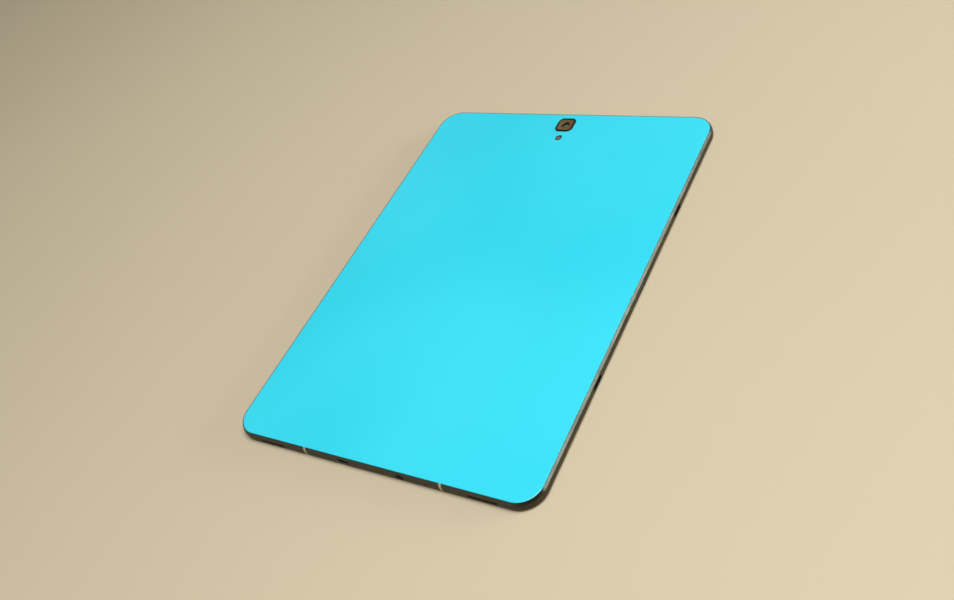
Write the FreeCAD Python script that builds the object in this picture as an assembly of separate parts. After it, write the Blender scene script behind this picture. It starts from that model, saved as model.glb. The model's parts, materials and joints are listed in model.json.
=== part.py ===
"""A thin tablet computer, built as the separate pieces it comes apart into.

Frame: the origin is the centre of the front glass's outer face. +Z points out of the back
cover, +Y towards the end with the camera, and +X to the dock side. Millimetres.
"""

import math
import os

import FreeCAD
import Part

V = FreeCAD.Vector

# Cutters run PAST the faces they cut, and parts that rest on each other are TOUCH apart
PAST = 1.0
TOUCH = 0.02

# Outer form
LENGTH = 237.3
WIDTH = 169.0
THICKNESS = 6.0
CORNER_R = 12.0
HALF_L = LENGTH / 2
HALF_W = WIDTH / 2

# Frame section: insets are measured from the outer side wall, heights from the nearer face
SHOULDER_IN = 1.05
SHOULDER_Z = 1.40
CROWN_IN = 0.12
WALL_IN = 2.20
RIM_Z = 0.05
RIM_FLAT = 0.15
WALL_DEPTH = WALL_IN + 0.30

# Antenna bands, between the frame's bars and its side pieces
BAND_X = 38.2
BAND_W = 1.3

# Stack of layers, from the front glass to the back cover
GLASS_T = 0.60
GLASS_FIT = 0.05
GLASS_BEVEL = 0.15
COVER_BEVEL = 0.12
PRINT_T = 0.04
PRINT_FIT = 0.30
GASKET_Z = (0.66, 0.80)
GASKET_FIT = 0.15
PANEL_Z = (0.66, 1.66)
DIGITIZER_Z = (1.70, 1.95)
MID_Z = (2.05, 2.65)
BACK_GLUE_Z = (5.30, 5.38)
GLUE_FIT = 0.25
GLUE_W = 2.20
COVER_Z = (5.40, 6.00)

# Display
SCREEN = (147.8, 197.1)
PANEL = (150.5, 199.5)
DIGITIZER = (153.0, 202.0)
DISPLAY_FLEX_X = (-36.0, -20.0)
DISPLAY_FLEX_Z = 1.20
DISPLAY_FLEX_REACH = (0.1, 3.0)
FLEX_T = 0.12

# Openings in the mid plate: how far each stands clear of what passes through it
MID_CLEAR = 0.6
MID_CAMERA_CLEAR = 0.35
MID_KEY_CLEAR = 3.0
MID_USB = (12.0, 13.5)
MID_SPEAKER_CLEAR = 1.0

# Mid-height of the ports and keys in the side wall
PORT_Z = 3.0

# Charging port: overall width, height and depth of its shell
USB_X = -16.5
USB_SIZE = (8.94, 3.26, 7.3)
USB_WALL = 0.30
USB_FRONT = 0.35
USB_TONGUE = (6.7, 0.7)
USB_BASE_L = 1.3
USB_PAD = (0.26, 3.6, 0.05)
USB_PAD_PITCH = 0.5
USB_PADS = 12
PORT_FIT = 0.10

# Headphone jack: width, height and length of its body
JACK_X = 16.3
JACK_BORE_R = 1.8
JACK_BORE_L = 14.0
JACK_WALL = 0.27
JACK_FRONT = 0.20
JACK_SHOULDER = 2.30
JACK_BODY = (5.2, 4.2, 13.0)
JACK_SPRING = (0.20, 2.2, 0.80)
JACK_SPRING_PITCH = 3.5

# Speakers and microphones
SPEAKER_X = 59.0
SPEAKER_BOX = (26.0, 14.3)
SPEAKER_Z = (2.72, 5.15)
GRILLE = (15.0, 1.3)
GRILLE_MESH_T = 0.25
GRILLE_MESH_LAP = 0.4
BOTTOM_MIC_X = 30.0
TOP_MIC_X = -12.0
MIC_HOLE_R = 0.5
MIC_BODY = (3.0, 3.1, 1.0)
MIC_BACK = 0.55
SPEAKER_BACK = 0.50

# Dock side
ALIGN_Y = 52.5
ALIGN_SLOT = (8.3, 2.0, 1.4)
DOCK_STRIP = (14.5, 2.4)
DOCK_STRIP_T = 3.05
DOCK_RECESS = 0.25
DOCK_PAD_R = 0.65
DOCK_PAD_RECESS = 0.45
DOCK_PITCH = 3.3
DOCK_PADS = 4
MAGNET = (1.8, 18.0, 2.05)

# Key side
POWER_Y = 84.0
POWER_L = 10.0
VOLUME_Y = 58.0
VOLUME_L = 24.0
VOLUME_STEMS = (-8.0, 8.0)
KEY_H = 2.2
KEY_PROUD = 0.40
KEY_GAP = 0.15
KEY_TRAVEL = 0.25
KEY_ROUND = 0.20
KEY_STEM = (1.8, 1.2)
DOME_R = 1.1
DOME_T = 0.35
KEY_FACE = -HALF_W - KEY_PROUD
INNER_WALL = -HALF_W + WALL_IN
FLANGE_X = (INNER_WALL + 0.10, INNER_WALL + 0.50)
STEM_X = INNER_WALL + 0.75
DOME_X = (STEM_X + KEY_TRAVEL + 0.05, STEM_X + KEY_TRAVEL + 0.05 + DOME_T)

# Card tray: faceplate length and height, then the width, length and thickness behind it
TRAY_Y = 32.0
TRAY_Z = 3.4
TRAY_FACE = (16.0, 2.0)
TRAY_BODY = (14.0, 21.0, 1.0)
TRAY_POCKET_W = 11.0
TRAY_FLOOR = 0.20
PIN_HOLE_R = 0.40
TRAY_SEAL_T = 0.50
TRAY_FIT = 0.20
SOCKET_Z = (2.68, 4.25)
SOCKET_ROOM_Z = (2.83, 4.05)

# Rear camera: the raised surround, the dished plate inside it, and the moving lens
CAMERA_Y = 108.8
DECO = 10.6
DECO_R = 3.0
DECO_TOP = 6.45
DECO_LOW = 5.25
DECO_BEVEL = 0.20
DECO_BORDER = 1.10
DISH_EDGE = 0.10
DISH_FLAT = 5.9
DISH_Z = (6.10, 6.33)
DISH_UNDER = 5.92
DISH_SKIRT = 0.30
DISH_FLAT_R = 1.2
WINDOW_R = 2.40
WINDOW_Z = (5.92, 6.08)
CAMERA_BODY = 8.5
CAMERA_BODY_Z = (3.05, 5.20)
CAMERA_FLOOR_Z = 3.55
CAMERA_BOARD_Z = (2.72, 2.98)
IMAGE_SENSOR = (4.6, 3.6)
BARREL_R = 2.7
BARREL_GAP = 0.15
BARREL_TOP = 5.60
BARREL_CUPS = ((2.0, 3.0, 4.6), (1.6, 4.0, 6.0), (2.2, 4.9, 6.0))
ELEMENT_Z = (4.92, 5.50)
ELEMENT_R = 2.18
ELEMENT_DOME_R = 5.0

# Flash
FLASH_Y = 98.4
FLASH = (3.6, 4.2)
FLASH_RING_W = 0.25
FLASH_Z = (5.30, 6.05)
FLASH_WINDOW_Z = (5.45, 6.00)
LED = 1.8

# Front camera, light sensor and home key
FRONT_CAMERA = (20.0, 109.0)
FRONT_CAMERA_BODY = 6.5
FRONT_CAMERA_Z = (1.50, 4.30)
FRONT_LENS_R = 1.7
LIGHT_SENSOR = (30.0, 109.0)
LIGHT_SENSOR_SIZE = (3.0, 2.0)
LIGHT_HOLE_R = 1.0
BEHIND_PRINT_Z = 0.72
HOME_Y = -108.6
HOME_CAP = (18.0, 6.2)
HOME_GAP = 0.20
HOME_CAP_Z = (0.05, 1.05)
HOME_FLANGE = 1.0
HOME_FLANGE_Z = (1.0, 1.2)
HOME_RIM_W = 1.5
HOME_RIM_Z = (0.70, 0.95)
HOME_SWITCH_R = 1.6
HOME_SWITCH_Z = (1.50, 1.78)
HOME_FLEX = (6.0, 5.0)
HOME_FLEX_TAIL = (3.0, 5.6)

# Boards: outlines as ranges along X and Y, and the heights of what stands on them
BOARD_Z = (3.30, 3.90)
MAIN_STRIP = ((-78.0, 80.0), (60.0, 98.0))
MAIN_TONGUE = ((-44.0, 44.0), (97.0, 115.5))
USB_STRIP = ((-36.0, 36.0), (-115.8, -90.0))
BOARD_CLEAR = 0.45
PART_Z = BOARD_Z[1] + TOUCH
CAN_AREAS = (
    ((-40.0, -6.0), (67.0, 94.0)),
    ((4.0, 44.0), (67.0, 94.0)),
    ((52.0, 70.0), (68.0, 90.0)),
)
CAN_TOP = 5.10
CAN_T = 0.15
LARGE_CHIP = (12.0, 4.75)
SMALL_CHIP = (4.0, 5.0, 4.55)
CHIP_STEP = 5.0
CHIP_ROWS = (4.0, -7.0)
LOW_Z = 2.72
MAIN_FLEX_X = (-59.5, -53.5)
COAX_X = (77.6, 78.8)
COAX_R = 0.4
COAX_Z = 4.45
COAX_BEND = 4.0
COAX_START_Y = 62.0
COAX_TURN_Y = -87.0
COAX_END_X = 34.0

# Battery
BATTERY_X = ((-52.0, 11.4), (13.0, 76.4))
BATTERY_Y = (-88.0, 56.0)
BATTERY_Z = (2.78, 5.15)
BATTERY_R = 2.5
BATTERY_ROUND = 0.5
BATTERY_GLUE_Z = (2.67, 2.76)
BATTERY_GLUE_IN = (4.0, 6.0)
PROTECTION = ((-10.0, 34.0), (56.2, 59.6), (3.0, 3.6))
LEAD_X = (6.0, 18.0)
LEAD_Y = (57.0, 64.0)

# Screws, and the bosses on the mid plate that they go into
SCREW_R = 0.7
SCREW_HOLE_R = 0.8
SCREW_HEAD_R = 1.2
SCREW_HEAD_T = 0.45
CROSS = (0.70, 0.12, 0.25)
BOSS_R = 1.6
SPEAKER_SCREW = (76.0, 108.0)
BOARD_SCREWS = (
    (-74.0, 92.0), (-50.0, 64.0), (0.0, 64.0), (49.0, 64.0), (73.0, 64.0), (73.0, 94.0),
    (-40.0, 111.0), (40.0, 111.0), (-28.0, -95.0), (28.0, -95.0),
)
SPEAKER_SCREWS = tuple((sx * SPEAKER_SCREW[0], sy * SPEAKER_SCREW[1]) for sx in (-1, 1) for sy in (-1, 1))
SCREWS = BOARD_SCREWS + SPEAKER_SCREWS

ACROSS_X = V(1, 0, 0)
ACROSS_Y = V(0, 1, 0)


# ---- Shapes ----

def around(middle, size):
    """The range of a size centred on a place."""
    return (middle - size / 2, middle + size / 2)


def rounded_face(size_x, size_y, radius, x=0, y=0, z=0):
    """A flat rounded rectangle in an XY plane."""
    radius = min(radius, size_x / 2 - 0.001, size_y / 2 - 0.001)
    arcs = []
    for turn, (side_x, side_y) in enumerate(((1, 1), (-1, 1), (-1, -1), (1, -1))):
        middle = V(x + side_x * (size_x / 2 - radius), y + side_y * (size_y / 2 - radius), z)
        points = []
        for step in (0, 45, 90):
            angle = math.radians(90 * turn + step)
            points.append(middle + V(radius * math.cos(angle), radius * math.sin(angle), 0))
        arcs.append(points)
    edges = []
    for index, points in enumerate(arcs):
        following = arcs[(index + 1) % 4][0]
        edges.append(Part.Arc(*points).toShape())
        edges.append(Part.makeLine(points[2], following))
    return Part.Face(Part.Wire(edges))


def plate(size_x, size_y, radius, z_range, x=0, y=0):
    """A rounded rectangular plate between two heights."""
    return rounded_face(size_x, size_y, radius, x, y, z_range[0]).extrude(V(0, 0, z_range[1] - z_range[0]))


def block(x_range, y_range, z_range):
    """A plain block between limits."""
    low = V(x_range[0], y_range[0], z_range[0])
    return Part.makeBox(x_range[1] - x_range[0], y_range[1] - y_range[0], z_range[1] - z_range[0], low)


def disc(radius, z_range, x=0, y=0):
    """An upright cylinder."""
    return Part.makeCylinder(radius, z_range[1] - z_range[0], V(x, y, z_range[0]))


def rod_along_x(radius, x_range, y, z):
    """A cylinder whose axis runs along X."""
    return Part.makeCylinder(radius, x_range[1] - x_range[0], V(x_range[0], y, z), ACROSS_X)


def rod_along_y(radius, y_range, x, z):
    """A cylinder whose axis runs along Y."""
    return Part.makeCylinder(radius, y_range[1] - y_range[0], V(x, y_range[0], z), ACROSS_Y)


def slot_along_x(length, height, x_range, y, z):
    """A rounded slot or key whose depth runs along X."""
    solid = plate(length, height, height / 2, (0, x_range[1] - x_range[0]))
    solid.Placement = FreeCAD.Placement(V(x_range[0], y, z), FreeCAD.Rotation(V(1, 1, 1), 120))
    return solid


def slot_along_y(length, height, y_range, x, z):
    """A rounded slot or port whose depth runs along Y."""
    solid = plate(length, height, height / 2, (0, y_range[1] - y_range[0]))
    solid.Placement = FreeCAD.Placement(V(x, y_range[1], z), FreeCAD.Rotation(ACROSS_X, 90))
    return solid


def joined(solids):
    """Solids fused into one, with no seams left."""
    return solids[0].fuse(solids[1:]).removeSplitter()


def group(solids):
    """Separate solids kept together in one node."""
    return Part.makeCompound(solids)


def mirrored(solids, *normals):
    """The solids and their mirror images across planes through the origin."""
    for normal in normals:
        solids = solids + [solid.mirror(V(0, 0, 0), normal) for solid in solids]
    return solids


def edges_at(solid, axis, value):
    """The edges of a solid whose ends all lie at a value along an axis."""
    return [edge for edge in solid.Edges if all(abs(v.Point.dot(axis) - value) < 1e-6 for v in edge.Vertexes)]


def bevelled_at(solid, z, size):
    """The solid with the edges of its face at height z cut off at 45 degrees."""
    return solid.makeChamfer(size, edges_at(solid, V(0, 0, 1), z))


def rounded_at(solid, z, size):
    """The solid with the edges of its face at height z rounded."""
    return solid.makeFillet(size, edges_at(solid, V(0, 0, 1), z))


# ---- Frame ----

def frame_section(place):
    """The closed section of the frame; place(inset, z) turns it into points in space."""
    low_crown = place(CROWN_IN, SHOULDER_Z)
    high_crown = place(CROWN_IN, THICKNESS - SHOULDER_Z)
    outside = Part.Arc(low_crown, place(0, THICKNESS / 2), high_crown).toShape()
    corners = [
        high_crown,
        place(SHOULDER_IN - RIM_FLAT, THICKNESS - RIM_Z),
        place(SHOULDER_IN, THICKNESS - RIM_Z),
        place(SHOULDER_IN, BACK_GLUE_Z[0]),
        place(WALL_IN, BACK_GLUE_Z[0]),
        place(WALL_IN, GASKET_Z[1]),
        place(SHOULDER_IN, GASKET_Z[1]),
        place(SHOULDER_IN, RIM_Z),
        place(SHOULDER_IN - RIM_FLAT, RIM_Z),
        low_crown,
    ]
    lines = [Part.makeLine(a, b) for a, b in zip(corners, corners[1:])]
    return Part.Face(Part.Wire([outside] + lines))


def frame_ring():
    """The whole frame, before it is cut at the antenna bands."""
    corner = V(HALF_W - CORNER_R, HALF_L - CORNER_R, 0)
    side = frame_section(lambda inset, z: V(HALF_W - inset, -corner.y, z)).extrude(V(0, 2 * corner.y, 0))
    end = frame_section(lambda inset, z: V(-corner.x, HALF_L - inset, z)).extrude(V(2 * corner.x, 0, 0))
    turn = frame_section(lambda inset, z: V(HALF_W - inset, corner.y, z)).revolve(corner, V(0, 0, 1), 90)
    sides = mirrored([side], ACROSS_X)
    ends = mirrored([end], ACROSS_Y)
    turns = mirrored([turn], ACROSS_X, ACROSS_Y)
    return joined(sides + ends + turns)


def wall_span(half, sign, depth):
    """From outside a side face to a depth behind it, along the axis across the wall."""
    return tuple(sorted((sign * (half - depth), sign * (half + PAST))))


def frame_openings():
    """Every hole and slot through the side wall, and the two blind alignment slots."""
    bottom = wall_span(HALF_L, -1, WALL_DEPTH)
    top = wall_span(HALF_L, 1, WALL_DEPTH)
    key_side = wall_span(HALF_W, -1, WALL_DEPTH)
    dock_side = wall_span(HALF_W, 1, WALL_DEPTH)
    key_fit = 2 * KEY_GAP
    cuts = [
        slot_along_y(USB_SIZE[0] + PORT_FIT, USB_SIZE[1] + PORT_FIT, bottom, USB_X, PORT_Z),
        rod_along_y(JACK_BORE_R + JACK_WALL + 0.03, bottom, JACK_X, PORT_Z),
        rod_along_y(MIC_HOLE_R, bottom, BOTTOM_MIC_X, PORT_Z),
        rod_along_y(MIC_HOLE_R, top, TOP_MIC_X, PORT_Z),
        slot_along_x(DOCK_STRIP[0], DOCK_STRIP[1], dock_side, 0, PORT_Z),
        slot_along_x(POWER_L + key_fit, KEY_H + key_fit, key_side, POWER_Y, PORT_Z),
        slot_along_x(VOLUME_L + key_fit, KEY_H + key_fit, key_side, VOLUME_Y, PORT_Z),
        slot_along_x(TRAY_FACE[0] + TRAY_FIT, TRAY_FACE[1] + TRAY_FIT, key_side, TRAY_Y, TRAY_Z),
    ]
    for x in (-SPEAKER_X, SPEAKER_X):
        for span in (bottom, top):
            cuts.append(slot_along_y(*GRILLE, span, x, PORT_Z))
    length, height, depth = ALIGN_SLOT
    for y in (-ALIGN_Y, ALIGN_Y):
        cuts.append(slot_along_x(length, height, wall_span(HALF_W, 1, depth), y, PORT_Z))
    return cuts


def frame_pieces():
    """Two long side pieces, two short bars and the four antenna bands between them."""
    whole = frame_ring().cut(frame_openings())
    near, far = around(BAND_X, BAND_W)
    height = (-PAST, THICKNESS + PAST)
    beyond = HALF_L + PAST
    pieces = {
        "frame_dock_side": whole.common(block((far, beyond), (-beyond, beyond), height)),
        "frame_key_side": whole.common(block((-beyond, -far), (-beyond, beyond), height)),
        "frame_top_bar": whole.common(block((-near, near), (0, beyond), height)),
        "frame_bottom_bar": whole.common(block((-near, near), (-beyond, 0), height)),
    }
    bands = whole.common(block((near + TOUCH, far - TOUCH), (-beyond, beyond), height)).Solids
    pieces["antenna_bands"] = group(mirrored(bands, ACROSS_X))
    return pieces


# ---- Front: glass, display and home key ----

def inset_plate(inset, z_range):
    """A plate that follows the tablet's outline at a distance inside it."""
    return plate(WIDTH - 2 * inset, LENGTH - 2 * inset, CORNER_R - inset, z_range)


def home_plate(grow, z_range):
    """A plate with the home key's outline, grown all round."""
    return plate(HOME_CAP[0] + 2 * grow, HOME_CAP[1] + 2 * grow, HOME_CAP[1] / 2 + grow, z_range, 0, HOME_Y)


def front_pieces():
    """The glass, its print, the gasket, the display, the pen digitizer and the mid plate."""
    key_hole = home_plate(HOME_GAP, (-PAST, GASKET_Z[1]))
    glass = inset_plate(SHOULDER_IN + GLASS_FIT, (0, GLASS_T))
    printed = inset_plate(SHOULDER_IN + PRINT_FIT, (GLASS_T, GLASS_T + PRINT_T))
    clear_areas = [
        plate(*SCREEN, 0.5, (0, PAST)),
        disc(FRONT_LENS_R, (0, PAST), *FRONT_CAMERA),
        disc(LIGHT_HOLE_R, (0, PAST), *LIGHT_SENSOR),
    ]
    gasket = inset_plate(SHOULDER_IN + GASKET_FIT, GASKET_Z).cut(inset_plate(WALL_IN - 0.1, GASKET_Z))
    return {
        "front_glass": bevelled_at(glass, 0, GLASS_BEVEL).cut(key_hole),
        "glass_border_print": printed.cut(clear_areas + [key_hole]),
        "front_gasket": gasket,
        "display_panel": plate(*PANEL, 1.0, PANEL_Z),
        "display_flex": display_flex(),
        "pen_digitizer": plate(*DIGITIZER, 1.0, DIGITIZER_Z),
        "mid_plate": mid_plate(),
    }


def display_flex():
    """The ribbon that folds from the display's end through the mid plate to the mainboard."""
    start, fold = (PANEL[1] / 2 + reach for reach in DISPLAY_FLEX_REACH)
    low = block(DISPLAY_FLEX_X, (start, fold), (DISPLAY_FLEX_Z, DISPLAY_FLEX_Z + FLEX_T))
    rise = block(DISPLAY_FLEX_X, (fold, fold + FLEX_T), (DISPLAY_FLEX_Z, BOARD_Z[0] - 0.20))
    return joined([low, rise])


def mid_plate():
    """The stamped plate that stiffens the frame, with its screw bosses and clearance holes."""
    body = inset_plate(WALL_IN + TOUCH, MID_Z)
    bosses = [disc(BOSS_R, (MID_Z[1] - 0.1, BOARD_Z[0] - TOUCH), *place) for place in SCREWS]
    holes = [disc(SCREW_R + 0.05, (0, THICKNESS), *place) for place in SCREWS]
    through = (MID_Z[0] - PAST, MID_Z[1] + TOUCH)
    keys = (-HALF_W, -HALF_W + WALL_IN + MID_KEY_CLEAR)
    jack_end = -HALF_L + JACK_SHOULDER + JACK_BODY[2] + 3 * MID_CLEAR
    flex_x, flex_y = sum(DISPLAY_FLEX_X) / 2, PANEL[1] / 2 + DISPLAY_FLEX_REACH[1]
    flex_w = DISPLAY_FLEX_X[1] - DISPLAY_FLEX_X[0]
    camera = FRONT_CAMERA_BODY + 2 * MID_CAMERA_CLEAR
    openings = [
        block(around(USB_X, MID_USB[0]), (-HALF_L, -HALF_L + MID_USB[1]), through),
        block(around(JACK_X, JACK_BODY[0] + 2 * MID_CLEAR), (-HALF_L, jack_end), through),
        block(keys, around(POWER_Y, POWER_L + 2 * MID_KEY_CLEAR), through),
        block(keys, around(VOLUME_Y, VOLUME_L + 2 * MID_KEY_CLEAR), through),
        block((-HALF_W, INNER_WALL + MID_CLEAR), around(TRAY_Y, TRAY_FACE[0] + 2 * MID_CLEAR), through),
        block(around(flex_x, flex_w + 3 * MID_CLEAR), around(flex_y, 6 * MID_CLEAR), through),
        block((HALF_W - WALL_IN - 4 * MID_CLEAR, HALF_W), around(0, DOCK_STRIP[0] + 6 * MID_CLEAR), through),
        plate(camera, camera, 1.0, through, *FRONT_CAMERA),
        plate(*(size + 2 * MID_CLEAR for size in LIGHT_SENSOR_SIZE), 0.4, through, *LIGHT_SENSOR),
    ]
    notch_x = around(SPEAKER_X, GRILLE[0] + 2 * MID_SPEAKER_CLEAR)
    notch = block(notch_x, (HALF_L - WALL_DEPTH - 0.15, HALF_L), through)
    openings.extend(mirrored([notch], ACROSS_X, ACROSS_Y))
    return joined([body] + bosses).cut(holes + openings)


def home_key_pieces():
    """A sprung cap in its rim, over a small switch on a flex."""
    cap = rounded_at(home_plate(0, HOME_CAP_Z), HOME_CAP_Z[0], 0.2)
    flange = home_plate(HOME_FLANGE, HOME_FLANGE_Z)
    rim = home_plate(HOME_RIM_W, HOME_RIM_Z).cut(home_plate(HOME_GAP + 0.05, (0, 2 * PAST)))
    flex_z = (HOME_SWITCH_Z[1] + TOUCH, HOME_SWITCH_Z[1] + TOUCH + FLEX_T)
    flex = plate(*HOME_FLEX, 0.5, flex_z, 0, HOME_Y)
    tail_w, tail_end = HOME_FLEX_TAIL
    tail = block(around(0, tail_w), (HOME_Y + 2.0, HOME_Y + tail_end), flex_z)
    return {
        "home_key_rim": rim,
        "home_key_cap": joined([cap, flange]),
        "home_key_switch": disc(HOME_SWITCH_R, HOME_SWITCH_Z, 0, HOME_Y),
        "home_key_flex": joined([flex, tail]),
    }


# ---- Back: cover, camera and flash ----

def back_pieces():
    """The cover glass and the adhesive that holds it."""
    through = (BACK_GLUE_Z[0] - PAST, THICKNESS + PAST)
    fit = 0.1
    camera_hole = plate(DECO + fit, DECO + fit, DECO_R + fit / 2, through, 0, CAMERA_Y)
    flash_hole = plate(FLASH[0] + fit, FLASH[1] + fit, FLASH[0], through, 0, FLASH_Y)
    cover = inset_plate(SHOULDER_IN + GLASS_FIT, COVER_Z)
    glue_in = SHOULDER_IN + GLUE_FIT
    glue = inset_plate(glue_in, BACK_GLUE_Z).cut(inset_plate(glue_in + GLUE_W, BACK_GLUE_Z))
    return {
        "back_cover": bevelled_at(cover, COVER_Z[1], COVER_BEVEL).cut([camera_hole, flash_hole]),
        "back_cover_adhesive": glue,
    }


def camera_plate(inset, z_range):
    """A plate with the camera surround's outline, at a distance inside it."""
    return plate(DECO - 2 * inset, DECO - 2 * inset, DECO_R - inset, z_range, 0, CAMERA_Y)


def camera_deco_pieces():
    """The raised camera surround: a dark border, a dished metal plate inside it and the round window."""
    ring = bevelled_at(camera_plate(0, (DECO_LOW, DECO_TOP)), DECO_TOP, DECO_BEVEL)
    ring = ring.cut(camera_plate(DECO_BORDER, (DECO_LOW - PAST, DECO_TOP + PAST)))

    inset = DECO_BORDER + TOUCH
    dished = camera_plate(inset, (BACK_GLUE_Z[0], DISH_Z[1]))
    under = camera_plate(inset + DISH_SKIRT, (BACK_GLUE_Z[0] - PAST, DISH_UNDER))
    flat = rounded_face(DISH_FLAT, DISH_FLAT, DISH_FLAT_R, 0, CAMERA_Y, DISH_Z[0])
    wide = DECO - 2 * (inset + DISH_EDGE)
    mouth = rounded_face(wide, wide, DECO_R - inset - DISH_EDGE, 0, CAMERA_Y, DISH_Z[1])
    dish = Part.makeLoft([flat.OuterWire, mouth.OuterWire], True)
    sight = disc(WINDOW_R, (DISH_UNDER - PAST, DISH_Z[1]), 0, CAMERA_Y)
    return {
        "camera_deco_ring": ring,
        "camera_deco_bevel": dished.cut([under, dish, sight]),
        "camera_window": bevelled_at(disc(WINDOW_R - TOUCH, WINDOW_Z, 0, CAMERA_Y), WINDOW_Z[1], 0.04),
    }


def rear_camera_pieces():
    """Housing, board with its image sensor, and the lens barrel that moves to focus."""
    housing = plate(CAMERA_BODY, CAMERA_BODY, 0.8, CAMERA_BODY_Z, 0, CAMERA_Y)
    bore = disc(BARREL_R + BARREL_GAP, (CAMERA_FLOOR_Z, THICKNESS), 0, CAMERA_Y)
    room_z = (CAMERA_BODY_Z[0] - TOUCH, CAMERA_FLOOR_Z + 0.1)
    sensor_room = plate(IMAGE_SENSOR[0] + 0.4, IMAGE_SENSOR[1] + 0.4, 0.1, room_z, 0, CAMERA_Y)
    board = plate(CAMERA_BODY, CAMERA_BODY + 0.4, 0.5, CAMERA_BOARD_Z, 0, CAMERA_Y)
    sensor = plate(*IMAGE_SENSOR, 0.1, (CAMERA_BOARD_Z[1], CAMERA_BOARD_Z[1] + 0.32), 0, CAMERA_Y)
    barrel = bevelled_at(disc(BARREL_R, (CAMERA_FLOOR_Z + 0.03, BARREL_TOP), 0, CAMERA_Y), BARREL_TOP, 0.15)
    cups = [disc(radius, (low, high), 0, CAMERA_Y) for radius, low, high in BARREL_CUPS]
    return {
        "rear_camera_housing": housing.cut([bore, sensor_room]),
        "rear_camera_board": joined([board, sensor]),
        "rear_lens_barrel": barrel.cut(cups),
        "rear_lens_glass": rear_lens_glass(),
    }


def rear_lens_glass():
    """The domed front element seated in the barrel's cup."""
    dome = Part.makeSphere(ELEMENT_DOME_R, V(0, CAMERA_Y, ELEMENT_Z[1] - ELEMENT_DOME_R))
    return disc(ELEMENT_R, ELEMENT_Z, 0, CAMERA_Y).common(dome)


def flash_pieces():
    """The flash surround, its clear window and the light source below."""
    inner = (FLASH[0] - 2 * FLASH_RING_W, FLASH[1] - 2 * FLASH_RING_W)
    ring = bevelled_at(plate(*FLASH, FLASH[0], FLASH_Z, 0, FLASH_Y), FLASH_Z[1], 0.08)
    window = plate(inner[0] - 2 * TOUCH, inner[1] - 2 * TOUCH, FLASH[0], FLASH_WINDOW_Z, 0, FLASH_Y)
    return {
        "flash_ring": ring.cut(plate(*inner, FLASH[0], (FLASH_Z[0] - PAST, FLASH_Z[1] + PAST), 0, FLASH_Y)),
        "flash_window": window,
        "flash_led": plate(LED, LED, 0.2, (PART_Z, FLASH_Z[0] - 0.1), 0, FLASH_Y),
    }


def front_sensor_pieces():
    """The front camera and the ambient light sensor behind the front glass."""
    size = FRONT_CAMERA_BODY
    lens_z = (BEHIND_PRINT_Z, FRONT_CAMERA_Z[0] - TOUCH)
    return {
        "front_camera_body": plate(size, size, 0.6, FRONT_CAMERA_Z, *FRONT_CAMERA),
        "front_camera_lens": disc(FRONT_LENS_R - 0.1, lens_z, *FRONT_CAMERA),
        "light_sensor": plate(*LIGHT_SENSOR_SIZE, 0.2, (BEHIND_PRINT_Z, 1.70), *LIGHT_SENSOR),
    }


# ---- Boards, battery and cables ----

def board(areas, cutouts):
    """A circuit board at the common board height, drilled for the screws that fall on it."""
    holes = [disc(SCREW_HOLE_R, (0, THICKNESS), *place) for place in SCREWS]
    return joined([block(*area, BOARD_Z) for area in areas]).cut(holes + cutouts)


def microphone_notch(x, sign):
    """The notch in a board's outer edge that a microphone sits in."""
    edge = HALF_L - WALL_IN
    y_range = sorted((sign * edge, sign * (edge - MIC_BODY[1] - 2 * BOARD_CLEAR)))
    return block(around(x, MIC_BODY[0] + 2 * BOARD_CLEAR), y_range, BOARD_Z)


def mainboard():
    """A wide strip below the top edge with a tongue that reaches round the cameras."""
    camera_half = CAMERA_BODY / 2 + 2 * BOARD_CLEAR
    front_hole = FRONT_CAMERA_BODY + 2 * BOARD_CLEAR
    cutouts = [
        block((-camera_half, camera_half), (CAMERA_Y - camera_half, HALF_L), BOARD_Z),
        plate(front_hole, front_hole, 1.0, (0, THICKNESS), *FRONT_CAMERA),
        microphone_notch(TOP_MIC_X, 1),
    ]
    return board([MAIN_STRIP, MAIN_TONGUE], cutouts)


def usb_board():
    """The small board at the bottom edge round the charging port and the headphone jack."""
    usb_y = (-HALF_L, -HALF_L + USB_FRONT + USB_SIZE[2] + BOARD_CLEAR)
    jack_y = (-HALF_L, -HALF_L + JACK_SHOULDER + JACK_BODY[2] + BOARD_CLEAR)
    cutouts = [
        block(around(USB_X, USB_SIZE[0] + 2 * BOARD_CLEAR), usb_y, BOARD_Z),
        block(around(JACK_X, JACK_BODY[0] + 2 * BOARD_CLEAR), jack_y, BOARD_Z),
        microphone_notch(BOTTOM_MIC_X, -1),
    ]
    return board([USB_STRIP], cutouts)


def shield_can(x_range, y_range):
    """A thin metal lid, open underneath."""
    inner_x = (x_range[0] + CAN_T, x_range[1] - CAN_T)
    inner_y = (y_range[0] + CAN_T, y_range[1] - CAN_T)
    room = block(inner_x, inner_y, (BOARD_Z[0], CAN_TOP - CAN_T))
    return block(x_range, y_range, (PART_Z, CAN_TOP)).cut(room)


def chips_under(x_range, y_range):
    """One large square chip and a row of three small ones under a shield can."""
    middle_x = sum(x_range) / 2
    middle_y = sum(y_range) / 2
    side, top = LARGE_CHIP
    small_w, small_l, small_top = SMALL_CHIP
    chips = [plate(side, side, 0.3, (PART_Z, top), middle_x, middle_y + CHIP_ROWS[0])]
    for step in (-1, 0, 1):
        x = middle_x + CHIP_STEP * step
        chips.append(plate(small_w, small_l, 0.2, (PART_Z, small_top), x, middle_y + CHIP_ROWS[1]))
    return chips


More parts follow.
